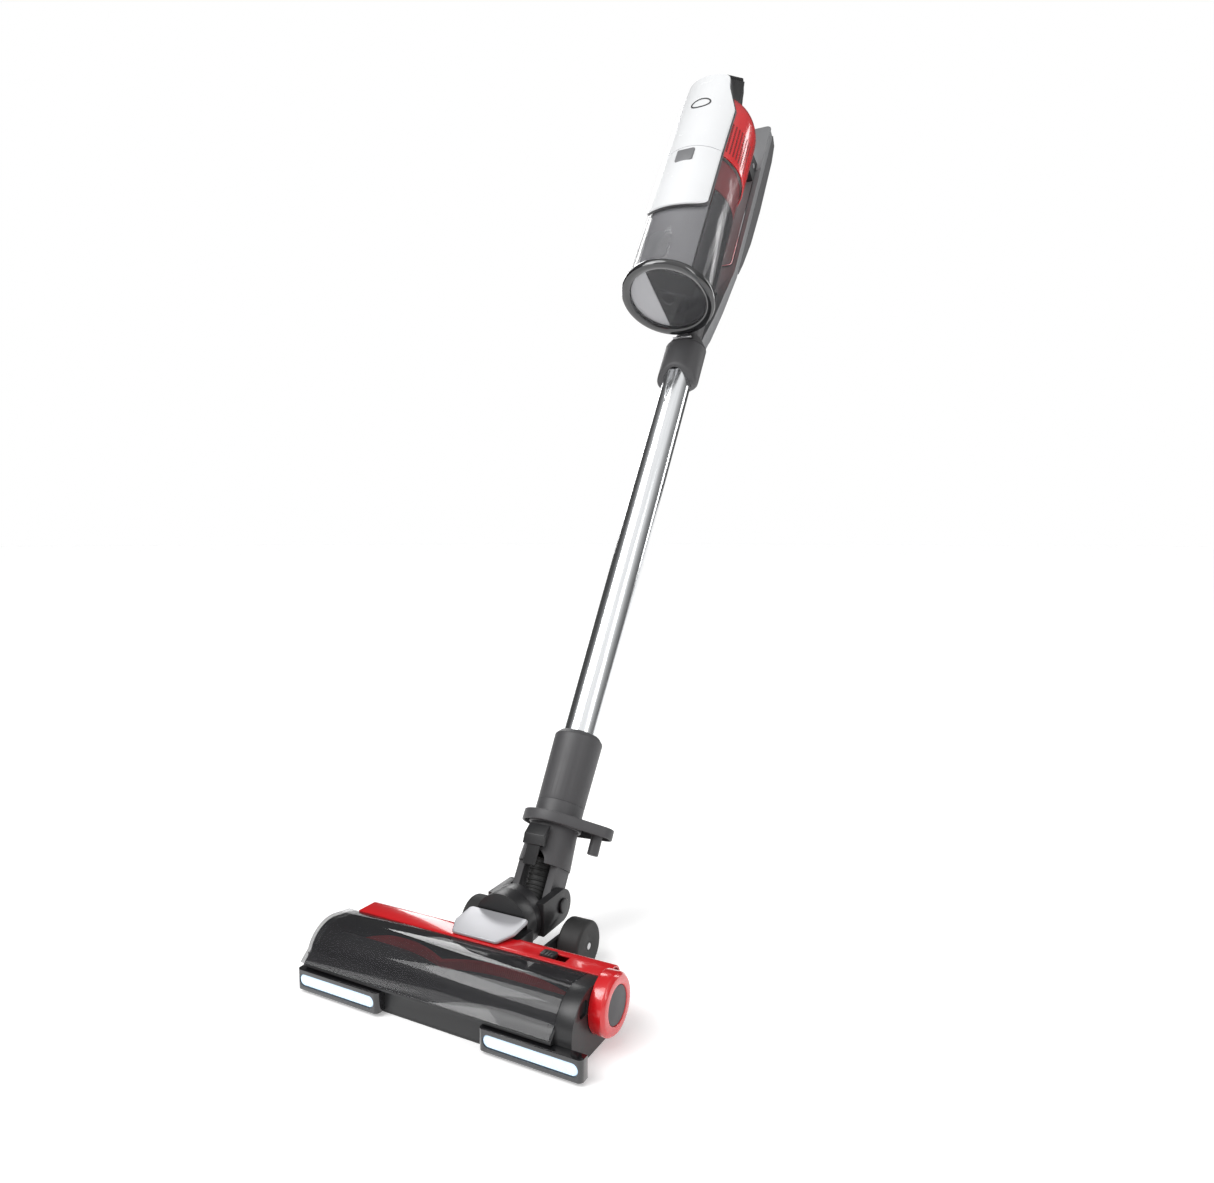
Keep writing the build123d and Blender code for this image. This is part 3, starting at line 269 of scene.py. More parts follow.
def make_materials():
    c = colours()
    MATERIALS.update(
        red_gloss=plastic("red_gloss", tuple(c.red), 0.22, grain_strength=0.02, coat=0.7, variation=0.04),
        silver_gloss=plastic(
            "silver_gloss", tuple(c.silver), 0.26, grain_strength=0.03, coat=0.5, variation=0.02,
        ),
        dark_grey=plastic("dark_grey", tuple(c.dark_grey), 0.50, grain_strength=0.25),
        black_plastic=plastic("black_plastic", tuple(c.black), 0.36, grain_strength=0.18),
        gloss_black=plastic("gloss_black", (0.008, 0.008, 0.009), 0.10, grain_strength=0.01, coat=1.0),
        mid_grey=plastic("mid_grey", tuple(c.mid_grey), 0.42, grain_strength=0.2),
        polished_tube=brushed_metal("polished_tube", (0.80, 0.815, 0.83), 0.16),
        smoked_window=see_through("smoked_window", tuple(c.smoke), 0.42),
        clear_bin=see_through("clear_bin", tuple(c.clear), 0.14),
        light_lens=glowing("light_lens", tuple(c.light), 0.35),
        steel=brushed_metal("steel", (0.5, 0.5, 0.51), 0.35),
        rubber_black=plastic("rubber_black", (0.013, 0.013, 0.013), 0.62, grain=1500.0, grain_strength=0.4),
        filter_fibre=plastic("filter_fibre", (0.72, 0.72, 0.68), 0.9, grain=2500.0, grain_strength=0.9),
        red_bristle=plastic("red_bristle", (0.45, 0.01, 0.015), 0.6, grain=3000.0, grain_strength=0.7),
        black_bristle=plastic("black_bristle", (0.01, 0.01, 0.01), 0.6, grain=3000.0, grain_strength=0.7),
        emblem_dark=plastic("emblem_dark", (0.02, 0.02, 0.022), 0.2, grain_strength=0.02, coat=0.6),
        # bright chrome for the inlay outline, a painted highlight
        chrome_trim=brushed_metal("chrome_trim", (0.72, 0.73, 0.75), 0.12),
        light_dot=glowing("light_dot", (0.92, 0.97, 1.0), 1.2),
        # vent plugs: a darker housing red, painted shade standing in for the inside of the vent holes
        vent_dark=plastic("vent_dark", (0.07, 0.002, 0.003), 0.7),
        bin_lining=see_through("bin_lining", (0.30, 0.30, 0.315), 0.80, 0.12),
        bin_dark=plastic("bin_dark", (0.010, 0.010, 0.011), 0.22, grain_strength=0.03, coat=0.6),
        badge_silver=plastic("badge_silver", (0.42, 0.42, 0.44), 0.32, grain_strength=0.03, metallic=0.3),
        filter_red=plastic("filter_red", (0.24, 0.010, 0.014), 0.35, grain_strength=0.1, coat=0.4),
        door_grey=plastic("door_grey", (0.52, 0.52, 0.54), 0.3, grain_strength=0.02, coat=0.4),
    )


def slot_of(node):
    return next(part["material_slot"] for part in frame["record"]["subparts"] if part["node"] == node)


# ---- mesh helpers ----------------------------------------------------------------------------------
def shade(mesh, angle=35.0):
    for polygon in mesh.polygons:
        polygon.use_smooth = True
    mesh.set_sharp_from_angle(angle=radians(angle))


def finish_piece(piece, material, body, replaced=()):
    """Material, body and the CAD nodes it stands for."""
    piece.data.materials.clear()
    piece.data.materials.append(MATERIALS[material])
    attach(piece, body)
    if replaced:
        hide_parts(*replaced)
    return piece


def link_mesh(name, mesh):
    piece = bpy.data.objects.new(name, mesh)
    bpy.context.scene.collection.objects.link(piece)
    return piece


def apply_modifiers(piece):
    """Bakes the modifiers into the mesh."""
    bpy.context.view_layer.update()
    evaluated = piece.evaluated_get(bpy.context.evaluated_depsgraph_get())
    mesh = bpy.data.meshes.new_from_object(evaluated)
    piece.modifiers.clear()
    piece.data = mesh
    return piece


def add_bevel(piece, radius_mm, segments=3, angle=30.0):
    bevel = piece.modifiers.new("rounded_edges", "BEVEL")
    bevel.width = radius_mm * MM
    bevel.segments = segments
    bevel.limit_method = "ANGLE"
    bevel.angle_limit = radians(angle)
    bevel.harden_normals = False
    return piece


def finished_node(node, radius=None, material=None, flat=0.8):
    """A copy of a CAD node with merged faces and softly rounded edges, which stands for it."""
    source = frame["nodes"][node]
    mesh = source.data.copy()
    net = bmesh.new()
    net.from_mesh(mesh)
    bmesh.ops.remove_doubles(net, verts=net.verts, dist=0.00002)
    bmesh.ops.dissolve_limit(
        net, angle_limit=radians(flat), verts=net.verts, edges=net.edges, delimit={"NORMAL"}
    )
    net.to_mesh(mesh)
    net.free()
    piece = link_mesh(node + "_finished", mesh)
    add_bevel(piece, sizes().edge if radius is None else radius)
    apply_modifiers(piece)
    shade(piece.data)
    return finish_piece(piece, material or slot_of(node), BODY_OF[node], (node,))


def build_mesh(name, verts, faces, matrix):
    mesh = bpy.data.meshes.new(name)
    mesh.from_pydata([matrix @ Vector(v) for v in verts], [], faces)
    net = bmesh.new()
    net.from_mesh(mesh)
    bmesh.ops.remove_doubles(net, verts=net.verts, dist=0.000005)
    bmesh.ops.recalc_face_normals(net, faces=net.faces)
    net.to_mesh(mesh)
    net.free()
    shade(mesh)
    return link_mesh(name, mesh)


def loft(name, rings, matrix, closed=False, cap=True):
    """Joins rings of equal length; closed joins the last ring to the first."""
    count = len(rings[0])
    verts = [point for ring in rings for point in ring]
    faces = []
    for i in range(len(rings) if closed else len(rings) - 1):
        low, high = i * count, ((i + 1) % len(rings)) * count
        for j in range(count):
            k = (j + 1) % count
            faces.append((low + j, low + k, high + k, high + j))
    if cap and not closed:
        faces.append(tuple(range(count)))
        faces.append(tuple(range((len(rings) - 1) * count, len(rings) * count)))
    return build_mesh(name, verts, faces, matrix)


def revolve(name, profile, matrix, steps=96, closed=True):
    """Turns (radius, height) points about local Z."""
    rings = []
    for step in range(steps):
        turn = 2 * pi * step / steps
        rings.append([(r * cos(turn), r * sin(turn), z) for r, z in profile])
    piece = loft(name, rings, matrix, closed=True)
    if not closed:
        net = bmesh.new()
        net.from_mesh(piece.data)
        bmesh.ops.dissolve_degenerate(net, dist=0.000001, edges=net.edges)
        net.to_mesh(piece.data)
        net.free()
    return piece


def rounded_rectangle(half_x, half_y, radius, corner_steps=6):
    """Points round a rectangle with rounded corners, anticlockwise."""
    points = []
    for cx, cy, start in ((1, 1, 0), (-1, 1, 90), (-1, -1, 180), (1, -1, 270)):
        for step in range(corner_steps + 1):
            turn = radians(start + 90 * step / corner_steps)
            points.append(
                (cx * (half_x - radius) + radius * cos(turn), cy * (half_y - radius) + radius * sin(turn))
            )
    return points


def smooth_step(x, low, high):
    t = max(0.0, min(1.0, (x - low) / (high - low)))
    return t * t * (3 - 2 * t)


# ---- geometry node helpers -----------------------------------------------------------------------
class Tree:
    """A geometry node tree with named inputs."""

    def __init__(self, name, **inputs):
        self.group = bpy.data.node_groups.new(name, "GeometryNodeTree")
        face = self.group.interface
        face.new_socket("Geometry", in_out="INPUT", socket_type="NodeSocketGeometry")
        face.new_socket("Geometry", in_out="OUTPUT", socket_type="NodeSocketGeometry")
        for label, value in inputs.items():
            kind = "NodeSocketInt" if isinstance(value, int) else "NodeSocketFloat"
            face.new_socket(label.replace("_", " "), in_out="INPUT", socket_type=kind).default_value = value
        self.inputs = self.group.nodes.new("NodeGroupInput").outputs

    def add(self, kind, values=None, **settings):
        node = self.group.nodes.new(kind)
        for key, value in settings.items():
            setattr(node, key, value)
        for key, value in (values or {}).items():
            if isinstance(value, bpy.types.NodeSocket):
                self.group.links.new(value, node.inputs[key])
            else:
                node.inputs[key].default_value = value
        return node

    def maths(self, operation, first, second=0.0):
        return self.add("ShaderNodeMath", {0: first, 1: second}, operation=operation).outputs[0]

    def xyz(self, x=0.0, y=0.0, z=0.0):
        return self.add("ShaderNodeCombineXYZ", {"X": x, "Y": y, "Z": z}).outputs[0]

    def close(self, geometry, material):
        """Ends the tree in plain geometry with its material."""
        plain = self.add("GeometryNodeRealizeInstances", {"Geometry": geometry})
        painted = self.add(
            "GeometryNodeSetMaterial", {"Geometry": plain.outputs[0], "Material": MATERIALS[material]}
        )
        self.add("NodeGroupOutput", {"Geometry": painted.outputs[0]})
        return self


def grow(name, tree, matrix, material, body, base=None, **settings):
    """Runs a tree with these inputs and keeps the result as a plain mesh on one body."""
    piece = link_mesh(name, base or bpy.data.meshes.new(name))
    modifier = piece.modifiers.new(name, "NODES")
    modifier.node_group = tree.group
    for item in tree.group.interface.items_tree:
        key = item.name.replace(" ", "_")
        if item.in_out == "INPUT" and key in settings:
            modifier[item.identifier] = settings[key]
    apply_modifiers(piece)
    piece.data.transform(matrix)
    shade(piece.data)
    return finish_piece(piece, material, body)


def pip_tree(name, material, sides, **inputs):
    """A tree with a small round boss, ready to be instanced: returns the tree and the boss."""
    tree = Tree(name, **inputs)
    boss = tree.add("GeometryNodeMeshCylinder", {"Vertices": sides, "Radius": 1.0, "Depth": 1.0})
    return tree, boss.outputs["Mesh"]


def arc_grid_tree(material):
    """Oval plugs on a cylinder round local Z, in columns round it and rows along it."""
    tree, boss = pip_tree(
        "vent_slots", material, 10, Columns=8, Rows=15, Radius=54.5, First_turn=0.9, Turn_step=0.1,
        First_height=208.0, Row_step=3.5, Width=1.3, Height=2.2, Depth=0.3,
    )
    get = tree.inputs
    count = tree.maths("MULTIPLY", get["Columns"], get["Rows"])
    line = tree.add("GeometryNodeMeshLine", {"Count": count})
    index = tree.add("GeometryNodeInputIndex").outputs[0]
    row = tree.maths("FLOOR", tree.maths("DIVIDE", index, get["Columns"]))
    column = tree.maths("SUBTRACT", index, tree.maths("MULTIPLY", row, get["Columns"]))
    turn = tree.maths("ADD", get["First turn"], tree.maths("MULTIPLY", column, get["Turn step"]))
    height = tree.maths("ADD", get["First height"], tree.maths("MULTIPLY", row, get["Row step"]))
    across = tree.maths("MULTIPLY", get["Radius"], tree.maths("SINE", turn))
    forward = tree.maths("MULTIPLY", get["Radius"], tree.maths("COSINE", turn))
    place = tree.xyz(across, tree.maths("MULTIPLY", forward, -1.0), height)
    points = tree.add("GeometryNodeSetPosition", {"Geometry": line.outputs[0], "Position": place})
    copies = tree.add(
        "GeometryNodeInstanceOnPoints",
        {
            "Points": points.outputs[0],
            "Instance": boss,
            "Rotation": tree.xyz(pi / 2, 0.0, turn),
            "Scale": tree.xyz(
                tree.maths("MULTIPLY", get["Width"], 0.5),
                tree.maths("MULTIPLY", get["Height"], 0.5),
                get["Depth"],
            ),
        },
    )
    return tree.close(copies.outputs[0], material)


def flat_grid_tree(material):
    """Round bosses on a flat grid in local X and Y."""
    tree, boss = pip_tree(
        "boss_grid", material, 10, Columns=4, Rows=4, Column_step=4.0, Row_step=4.0, Boss_radius=0.8,
        Boss_height=0.6,
    )
    get = tree.inputs
    half = tree.maths("SUBTRACT", get["Columns"], 1.0)
    rise = tree.maths("SUBTRACT", get["Rows"], 1.0)
    grid = tree.add(
        "GeometryNodeMeshGrid",
        {
            "Size X": tree.maths("MULTIPLY", half, get["Column step"]),
            "Size Y": tree.maths("MULTIPLY", rise, get["Row step"]),
            "Vertices X": get["Columns"],
            "Vertices Y": get["Rows"],
        },
    )
    copies = tree.add(
        "GeometryNodeInstanceOnPoints",
        {
            "Points": grid.outputs["Mesh"],
            "Instance": boss,
            "Scale": tree.xyz(get["Boss radius"], get["Boss radius"], get["Boss height"]),
        },
    )
    return tree.close(copies.outputs[0], material)


def tuft_tree(material):
    """Tufts along both halves of a strip that twists round the roll, which lies along local X."""
    tree = Tree(
        "tuft_strip", Count=60, Length=220.0, Middle=0.0, Twist=1.9, Start=0.0, Core_radius=14.0,
        Tuft_radius=1.1, Tuft_length=8.0, Seed=3,
    )
    get = tree.inputs
    last = tree.maths("SUBTRACT", get["Count"], 1.0)
    line = tree.add("GeometryNodeMeshLine", {"Count": get["Count"]})
    index = tree.add("GeometryNodeInputIndex").outputs[0]
    share = tree.maths("SUBTRACT", tree.maths("DIVIDE", index, last), 0.5)
    reach = tree.maths("MULTIPLY", tree.maths("ABSOLUTE", share), 2.0)
    turn = tree.maths("SUBTRACT", get["Start"], tree.maths("MULTIPLY", reach, get["Twist"]))
    middle = tree.maths("ADD", get["Core radius"], tree.maths("MULTIPLY", get["Tuft length"], 0.5))
    place = tree.xyz(
        tree.maths("ADD", get["Middle"], tree.maths("MULTIPLY", share, get["Length"])),
        tree.maths("MULTIPLY", middle, tree.maths("COSINE", turn)),
        tree.maths("MULTIPLY", middle, tree.maths("SINE", turn)),
    )
    points = tree.add("GeometryNodeSetPosition", {"Geometry": line.outputs[0], "Position": place})
    lean = tree.add(
        "FunctionNodeRandomValue", {"Seed": get["Seed"], 2: -0.09, 3: 0.09}, data_type="FLOAT"
    ).outputs[1]
    tuft = tree.add(
        "GeometryNodeMeshCone",
        {"Vertices": 6, "Radius Top": 1.25, "Radius Bottom": 0.8, "Depth": 1.0},
    )
    centred = tree.add(
        "GeometryNodeTransform", {"Geometry": tuft.outputs["Mesh"], "Translation": (0, 0, -0.5)}
    )
    copies = tree.add(
        "GeometryNodeInstanceOnPoints",
        {
            "Points": points.outputs[0],
            "Instance": centred.outputs[0],
            "Rotation": tree.xyz(tree.maths("SUBTRACT", turn, pi / 2), lean, 0.0),
            "Scale": tree.xyz(get["Tuft radius"], get["Tuft radius"], get["Tuft length"]),
        },
    )
    return tree.close(copies.outputs[0], material)


def rib_tree(material):
    """A hose with rings round it, along the edge chain it is given."""
    tree = Tree("ribbed_hose", Ribs=12, Hose_radius=11.6, Rib_radius=1.2)
    get = tree.inputs
    path = tree.add("GeometryNodeMeshToCurve", {"Mesh": get["Geometry"]})
    fine = tree.add("GeometryNodeResampleCurve", {"Curve": path.outputs[0], "Count": 48})
    wall_ring = tree.add("GeometryNodeCurvePrimitiveCircle", {"Resolution": 40, "Radius": get["Hose radius"]})
    wall = tree.add(
        "GeometryNodeCurveToMesh", {"Curve": fine.outputs[0], "Profile Curve": wall_ring.outputs[0]}
    )
    rib_ring = tree.add("GeometryNodeCurvePrimitiveCircle", {"Resolution": 40, "Radius": get["Hose radius"]})
    rib_section = tree.add(
        "GeometryNodeCurvePrimitiveCircle", {"Resolution": 10, "Radius": get["Rib radius"]}
    )
    rib = tree.add(
        "GeometryNodeCurveToMesh", {"Curve": rib_ring.outputs[0], "Profile Curve": rib_section.outputs[0]}
    )
    stations = tree.add("GeometryNodeCurveToPoints", {"Curve": path.outputs[0], "Count": get["Ribs"]})
    copies = tree.add(
        "GeometryNodeInstanceOnPoints",
        {
            "Points": stations.outputs["Points"],
            "Instance": rib.outputs[0],
            "Rotation": stations.outputs["Rotation"],
        },
    )
    both = tree.add("GeometryNodeJoinGeometry")
    tree.group.links.new(wall.outputs[0], both.inputs[0])
    tree.group.links.new(copies.outputs[0], both.inputs[0])
    return tree.close(both.outputs[0], material)


def points_mesh(name, points):
    mesh = bpy.data.meshes.new(name)
    mesh.from_pydata(points, [(i, i + 1) for i in range(len(points) - 1)], [])
    return mesh


# ---- operators -------------------------------------------------------------------------------------
class CadPartsOperator(bpy.types.Operator):
    """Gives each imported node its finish, and rounds the moulded edges of those that show"""

    bl_idname = "vacuum.cad_parts"
    bl_label = "Packed parts"

    ROUNDED = {
        "motor_housing": 0.6, "control_panel": 0.8, "handle_bridge": 3.0, "handle_bar": 2.6,
        "grip_inlay": 0.7,
        "inlet_duct": 0.6, "power_button": 0.6, "mode_button": 0.6, "battery_pack": 2.4, "battery_latch": 0.9,
        "bin_shell": 0.4, "cyclone_shroud": 0.8, "cyclone_cone": 0.6, "pre_filter": 0.5, "bin_liner": 0.4,
        "door_seal": 0.4, "lower_collar": 0.6, "wand_latch": 1.2, "neck_tube": 1.0, "accessory_ring": 1.8,
        "head_latch": 1.0, "knuckle_body": 1.6, "neck_hinge_pins": 1.0, "base_housing": 1.0,
        "sole_plate": 0.6,
        "brush_window": 0.5, "motor_cover": 1.6, "badge_plate": 1.1, "drive_cover": 1.8,
        "drive_cover_inlay": 0.8, "light_housings": 1.3, "light_lenses": 1.0, "brush_core": 0.6,
        "right_wheel": 1.6, "left_wheel": 1.6, "window_latch": 0.7, "bin_release_button": 1.0,
    }

    FINISHES = {
        "pre_filter": "filter_red",
        "bin_liner": "bin_dark",
        "badge_plate": "badge_silver",
        "bin_release_button": "mid_grey",
    }

    def execute(self, context):
        for name, node in frame["nodes"].items():
            node.data.materials.clear()
            node.data.materials.append(MATERIALS[slot_of(name)])
        for name, radius in self.ROUNDED.items():
            finished_node(name, radius, self.FINISHES.get(name))
        return {"FINISHED"}


class HousingVentsOperator(bpy.types.Operator):
    """Air slots in the side of the motor housing, drawn as dark red plugs on its surface: painted shade where
    the holes are
    """

    bl_idname = "vacuum.vents"
    bl_label = "Housing vents"

    def execute(self, context):
        size = sizes()
        tree = arc_grid_tree("vent_dark")
        for name, first in (("vents_right", 51.0), ("vents_left", -51.0 - 5.6 * (size.vent_columns - 1))):
            grow(
                name, tree, BIN, "vent_dark", "hand_unit", Columns=size.vent_columns, Rows=size.vent_rows,
                Radius=54.5, First_turn=radians(first), Turn_step=radians(5.6), First_height=212.0,
                Row_step=3.5, Width=size.vent_width, Height=size.vent_height, Depth=0.35,
            )
        return {"FINISHED"}


def curved_cover(name, widths, low, high, inner, outer, droop=0.0, corner_high=0.0):
    """A shell on the bin's cylinder whose half width follows widths, (height, half width) pairs."""

    def half_width(u):
        for (u0, w0), (u1, w1) in zip(widths, widths[1:]):
            if u <= u1 or (u1, w1) == widths[-1]:
                base = w0 + (w1 - w0) * min(1.0, max(0.0, (u - u0) / (u1 - u0)))
                break
        if u - low < droop:
            base *= sqrt(max(0.003, 1.0 - (1.0 - (u - low) / droop) ** 2))
        if high - u < corner_high:
            base -= corner_high - sqrt(corner_high ** 2 - (corner_high - high + u) ** 2)
        return base

    heights = []
    steps = 64
    for step in range(steps + 1):
        heights.append(low + (high - low) * (0.5 - 0.5 * cos(pi * step / steps)))
    columns = 41
    verts, faces = [], []
    for radius in (outer, inner):
        for u in heights:
            w = half_width(u)
            for column in range(columns):
                x = w * (2 * column / (columns - 1) - 1)
                verts.append((x, -sqrt(radius * radius - x * x), u))
    rows = len(heights)
    for layer in (0, rows * columns):
        for i in range(rows - 1):
            for j in range(columns - 1):
                a = layer + i * columns + j
                faces.append((a, a + 1, a + columns + 1, a + columns))
    rim = [j for j in range(columns)]
    rim += [i * columns + columns - 1 for i in range(1, rows)]
    rim += [(rows - 1) * columns + j for j in range(columns - 2, -1, -1)]
    rim += [i * columns for i in range(rows - 2, 0, -1)]
    offset = rows * columns
    for a, b in zip(rim, rim[1:] + rim[:1]):
        faces.append((a, b, b + offset, a + offset))
    piece = build_mesh(name, verts, faces, BIN)
    add_bevel(piece, 1.1, 4, 40.0)
    apply_modifiers(piece)
    shade(piece.data, 40.0)
    return piece


class CoversOperator(bpy.types.Operator):
    """Pale front covers, a dark grey sheet 1 mm wider under each that paints the shadow in the gap round
    their edges, and the oval emblem
    """

    bl_idname = "vacuum.covers"
    bl_label = "Front covers"

    UPPER = [(202.0, 40.0), (285.0, 41.0), (320.0, 30.0), (342.0, 27.0)]
    LOWER = [(98.0, 40.0), (202.0, 40.0)]
    EMBLEM_U = 286.0
    EMBLEM_HALF = (14.0, 9.0)

    def execute(self, context):
        upper = curved_cover("upper_cover_finished", self.UPPER, 202.6, 342.0, 54.9, 58.2, 0, 5)
        finish_piece(upper, "silver_gloss", "hand_unit", ("upper_cover",))
        lower = curved_cover("lower_cover_finished", self.LOWER, 98.2, 201.6, 54.2, 58.1, 20)
        finish_piece(lower, "silver_gloss", "dust_bin", ("lower_cover",))
        # dark grey sheets under the covers, showing 1 mm past their edges: painted shadow gap
        widened = [(u, w + 1.0) for u, w in self.UPPER]
        shadow_gap = curved_cover("upper_cover_gasket", widened, 202.4, 341.0, 54.7, 56.2, 0, 5)
        finish_piece(shadow_gap, "dark_grey", "hand_unit")
        widened = [(u, w + 1.0) for u, w in self.LOWER]
        shadow_gap = curved_cover("lower_cover_gasket", widened, 97.0, 201.8, 54.15, 56.2, 21)
        finish_piece(shadow_gap, "dark_grey", "dust_bin")
        self.emblem()
        return {"FINISHED"}

    def emblem(self):
        """An oval outline that follows the cover."""
        rings = []
        steps = 72
        for step in range(steps):
            turn = 2 * pi * step / steps
            ring = []
            for grow_by, lift in ((0.0, -0.25), (0.0, 0.45), (-2.0, 0.45), (-2.0, -0.25)):
                x = (self.EMBLEM_HALF[0] + grow_by) * cos(turn)
                u = self.EMBLEM_U + (self.EMBLEM_HALF[1] + grow_by) * sin(turn)
                radius = 58.2 + lift
                ring.append((x, -sqrt(radius * radius - x * x), u))
            rings.append(ring)
        piece = loft("cover_emblem_ring", rings, BIN, closed=True)
        finish_piece(piece, "emblem_dark", "hand_unit", ("cover_emblem",))


class DustBinOperator(bpy.types.Operator):
    """Door ring, the pale plate behind the pane and the lining of the bin's front"""

    bl_idname = "vacuum.dust_bin"
    bl_label = "Dust bin"

    LINING = (14.0, 146.0, 39.0)        # low end, high end and half width

    def execute(self, context):
        ring = revolve(
            "door_ring_finished",
            [
                (47.4, 8.6), (47.0, 5.5), (47.6, 1.4), (50.0, 0.2), (53.5, -0.3), (56.6, 0.4), (57.7, 2.2),
                (57.8, 5.0), (57.4, 7.6), (56.4, 8.8), (53.0, 8.95),
            ],
            BIN,
        )
        finish_piece(ring, "gloss_black", "bin_door", ("door_ring",))
        low, high, half_width = self.LINING
        sides = [(low, half_width), (high, half_width)]
        lining = curved_cover("bin_front_lining", sides, low, high, 50.6, 51.6)
        finish_piece(lining, "bin_lining", "dust_bin")
        self.door_shade()
        return {"FINISHED"}

    def door_shade(self):
        """Pale plate behind the left part of the pane."""
        outline = [(46.4 * cos(turn), 46.4 * sin(turn)) for turn in (radians(108 + 6 * k) for k in range(25))]
        rings = [[(x, y, height) for x, y in outline] for height in (5.4, 6.4)]
        finish_piece(loft("door_shade", rings, BIN), "door_grey", "bin_door")


class HandleOperator(bpy.types.Operator):
    """Pale block on the top of the handle, and a bright chrome outline round its inlay that paints the
    highlight along the inlay's edge
    """

    bl_idname = "vacuum.handle"
    bl_label = "Handle trim"

    CAP_HALF = (19.4, 49.5)
    CAP_MIDDLE = 419.5
    INLAY_HALF = (13.4, 95.4)
    INLAY_MIDDLE = 272.0

    def execute(self, context):
        half_x, half_u = self.CAP_HALF
        outline = rounded_rectangle(half_x, half_u, 8.0)
        rings = []
        for inset, back in ((0.0, 38.4), (0.0, 36.9), (0.4, 36.3), (1.2, 36.0)):
            across, along = 1 - inset / half_x, 1 - inset / half_u
            rings.append([(x * across, back, self.CAP_MIDDLE + u * along) for x, u in outline])
        finish_piece(loft("handle_cap", rings, HAND), "mid_grey", "hand_unit")
        # chrome frame round the inlay: painted highlight along its edge
        half_x, half_u = self.INLAY_HALF
        rings = []
        for x, u in rounded_rectangle(half_x, half_u, 4.0):
            inner_x, inner_u = x * (1 - 1.0 / half_x), u * (1 - 1.0 / half_u)
            ring = [(x, 36.6), (x, 35.5), (inner_x, 35.5), (inner_x, 36.6)]
            heights = (u, u, inner_u, inner_u)
            rings.append([(a, b, self.INLAY_MIDDLE + c) for (a, b), c in zip(ring, heights)])
        outline = loft("inlay_outline", rings, HAND, closed=True)
        finish_piece(outline, "chrome_trim", "hand_unit")
        return {"FINISHED"}


class WandTubeOperator(bpy.types.Operator):
    """Polished tube with its pressed groove, and the sleeve with an arched mouth"""

    bl_idname = "vacuum.wand"
    bl_label = "Wand tube and sleeve"

    BORE = 15.9
    SLEEVE = (622.0, 677.0)
    MOUTH_RISE = 13.0

    def execute(self, context):
        self.tube()
        self.sleeve()
        return {"FINISHED"}

    def tube(self):
        """The groove is deepest under the sleeve and runs out to a point."""
        heights = [127.5, 128.3] + [140.0 + 40.0 * i for i in range(11)]
        heights += [560.0 + 3.0 * i for i in range(34)]
        steps = 144
        rings = []
        for s in heights:
            ring = []
            radius = 17.5 - (0.5 if s == 127.5 else 0.0)
            half = 0.42 * smooth_step(s, 576.0, 640.0)
            for step in range(steps):
                turn = 2 * pi * step / steps
                off = abs((turn + pi / 2 + pi) % (2 * pi) - pi)
                dip = 1.6 * max(0.0, 1.0 - off / half) if half > 0.01 else 0.0
                ring.append(((radius - dip) * cos(turn), (radius - dip) * sin(turn), s))
            rings.append(ring)
        for s in (heights[-1], heights[0]):
            turns = [2 * pi * step / steps for step in range(steps)]
            rings.append([(self.BORE * cos(turn), self.BORE * sin(turn), s) for turn in turns])
        piece = loft("wand_tube_finished", rings, WAND, closed=True)
        finish_piece(piece, "polished_tube", "wand", ("wand_tube",))

    def mouth(self, turn):
        """Height of the sleeve's lower edge, highest at the front."""
        return self.SLEEVE[0] + self.MOUTH_RISE * sin(turn) ** 2 * (1.0 if sin(turn) < 0 else 0.25)

    def sleeve(self):
        """Oval sleeve whose lower edge arches over the groove and drops at the sides."""
        steps = 96
        profile = [
            (0.0, 0.0), (0.02, 0.5), (0.06, 0.9), (0.12, 1.0), (0.5, 1.0), (0.9, 1.0), (0.97, 0.93),
            (1.0, 0.75),
        ]
        rings = []
        for share, bulge in profile:
            ring = []
            for step in range(steps):
                turn = 2 * pi * step / steps
                low = self.mouth(turn)
                s = low + (self.SLEEVE[1] - low) * share
                grow_by = 0.9 + 0.1 * bulge
                ring.append((26.5 * cos(turn) * grow_by, 21.2 * sin(turn) * grow_by, s))
            rings.append(ring)
        for share in (1.0, 0.5, 0.0):
            ring = []
            for step in range(steps):
                turn = 2 * pi * step / steps
                low = self.mouth(turn)
                ring.append((17.7 * cos(turn), 17.7 * sin(turn), low + (self.SLEEVE[1] - low) * share))
            rings.append(ring)
        piece = loft("upper_sleeve_finished", rings, WAND, closed=True)
        finish_piece(piece, "dark_grey", "wand", ("upper_sleeve",))


class BrushOperator(bpy.types.Operator):
    """Bristle tufts in chevron strips round the roll"""

    bl_idname = "vacuum.brush"
    bl_label = "Brush roll"

    def execute(self, context):
        roll = Matrix.Translation(Vector(JOINTS["brush_spin"]["pos_m"])) @ Matrix.Scale(MM, 4)
        count = 2 * sizes().tuft_count + 1
        for name, start, body_node, width in (
            ("red", 110.0, "red_bristles", 1.45), ("black", 290.0, "black_bristles", 1.15),
        ):
            low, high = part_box(body_node)
            piece = grow(
                name + "_tufts", tuft_tree(name + "_bristle"), roll, name + "_bristle", "brush_roll",
                Count=count, Length=(high.x - low.x) / MM - 2.0, Middle=(high.x + low.x) / 2 / MM,
                Twist=radians(110.0), Start=radians(start), Core_radius=13.6, Tuft_radius=width,
                Tuft_length=8.4,
            )
            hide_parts(body_node)
        return {"FINISHED"}


class LightsOperator(bpy.types.Operator):
    """Rows of light dots in the two front lenses"""

    bl_idname = "vacuum.lights"
    bl_label = "Floor lights"

    def execute(self, context):
        tree = flat_grid_tree("light_dot")
        for name, x in (("left", -95.5), ("right", 95.5)):
            place = HEAD @ Matrix.Translation((x, 0.6, 11.5)) @ Matrix.Rotation(pi / 2, 4, "X")
            grow(
                name + "_light_dots", tree, place, "light_dot", "floor_head", Columns=sizes().light_count,
                Rows=1, Column_step=8.6, Row_step=1.0, Boss_radius=1.9, Boss_height=0.3,
            )
        return {"FINISHED"}


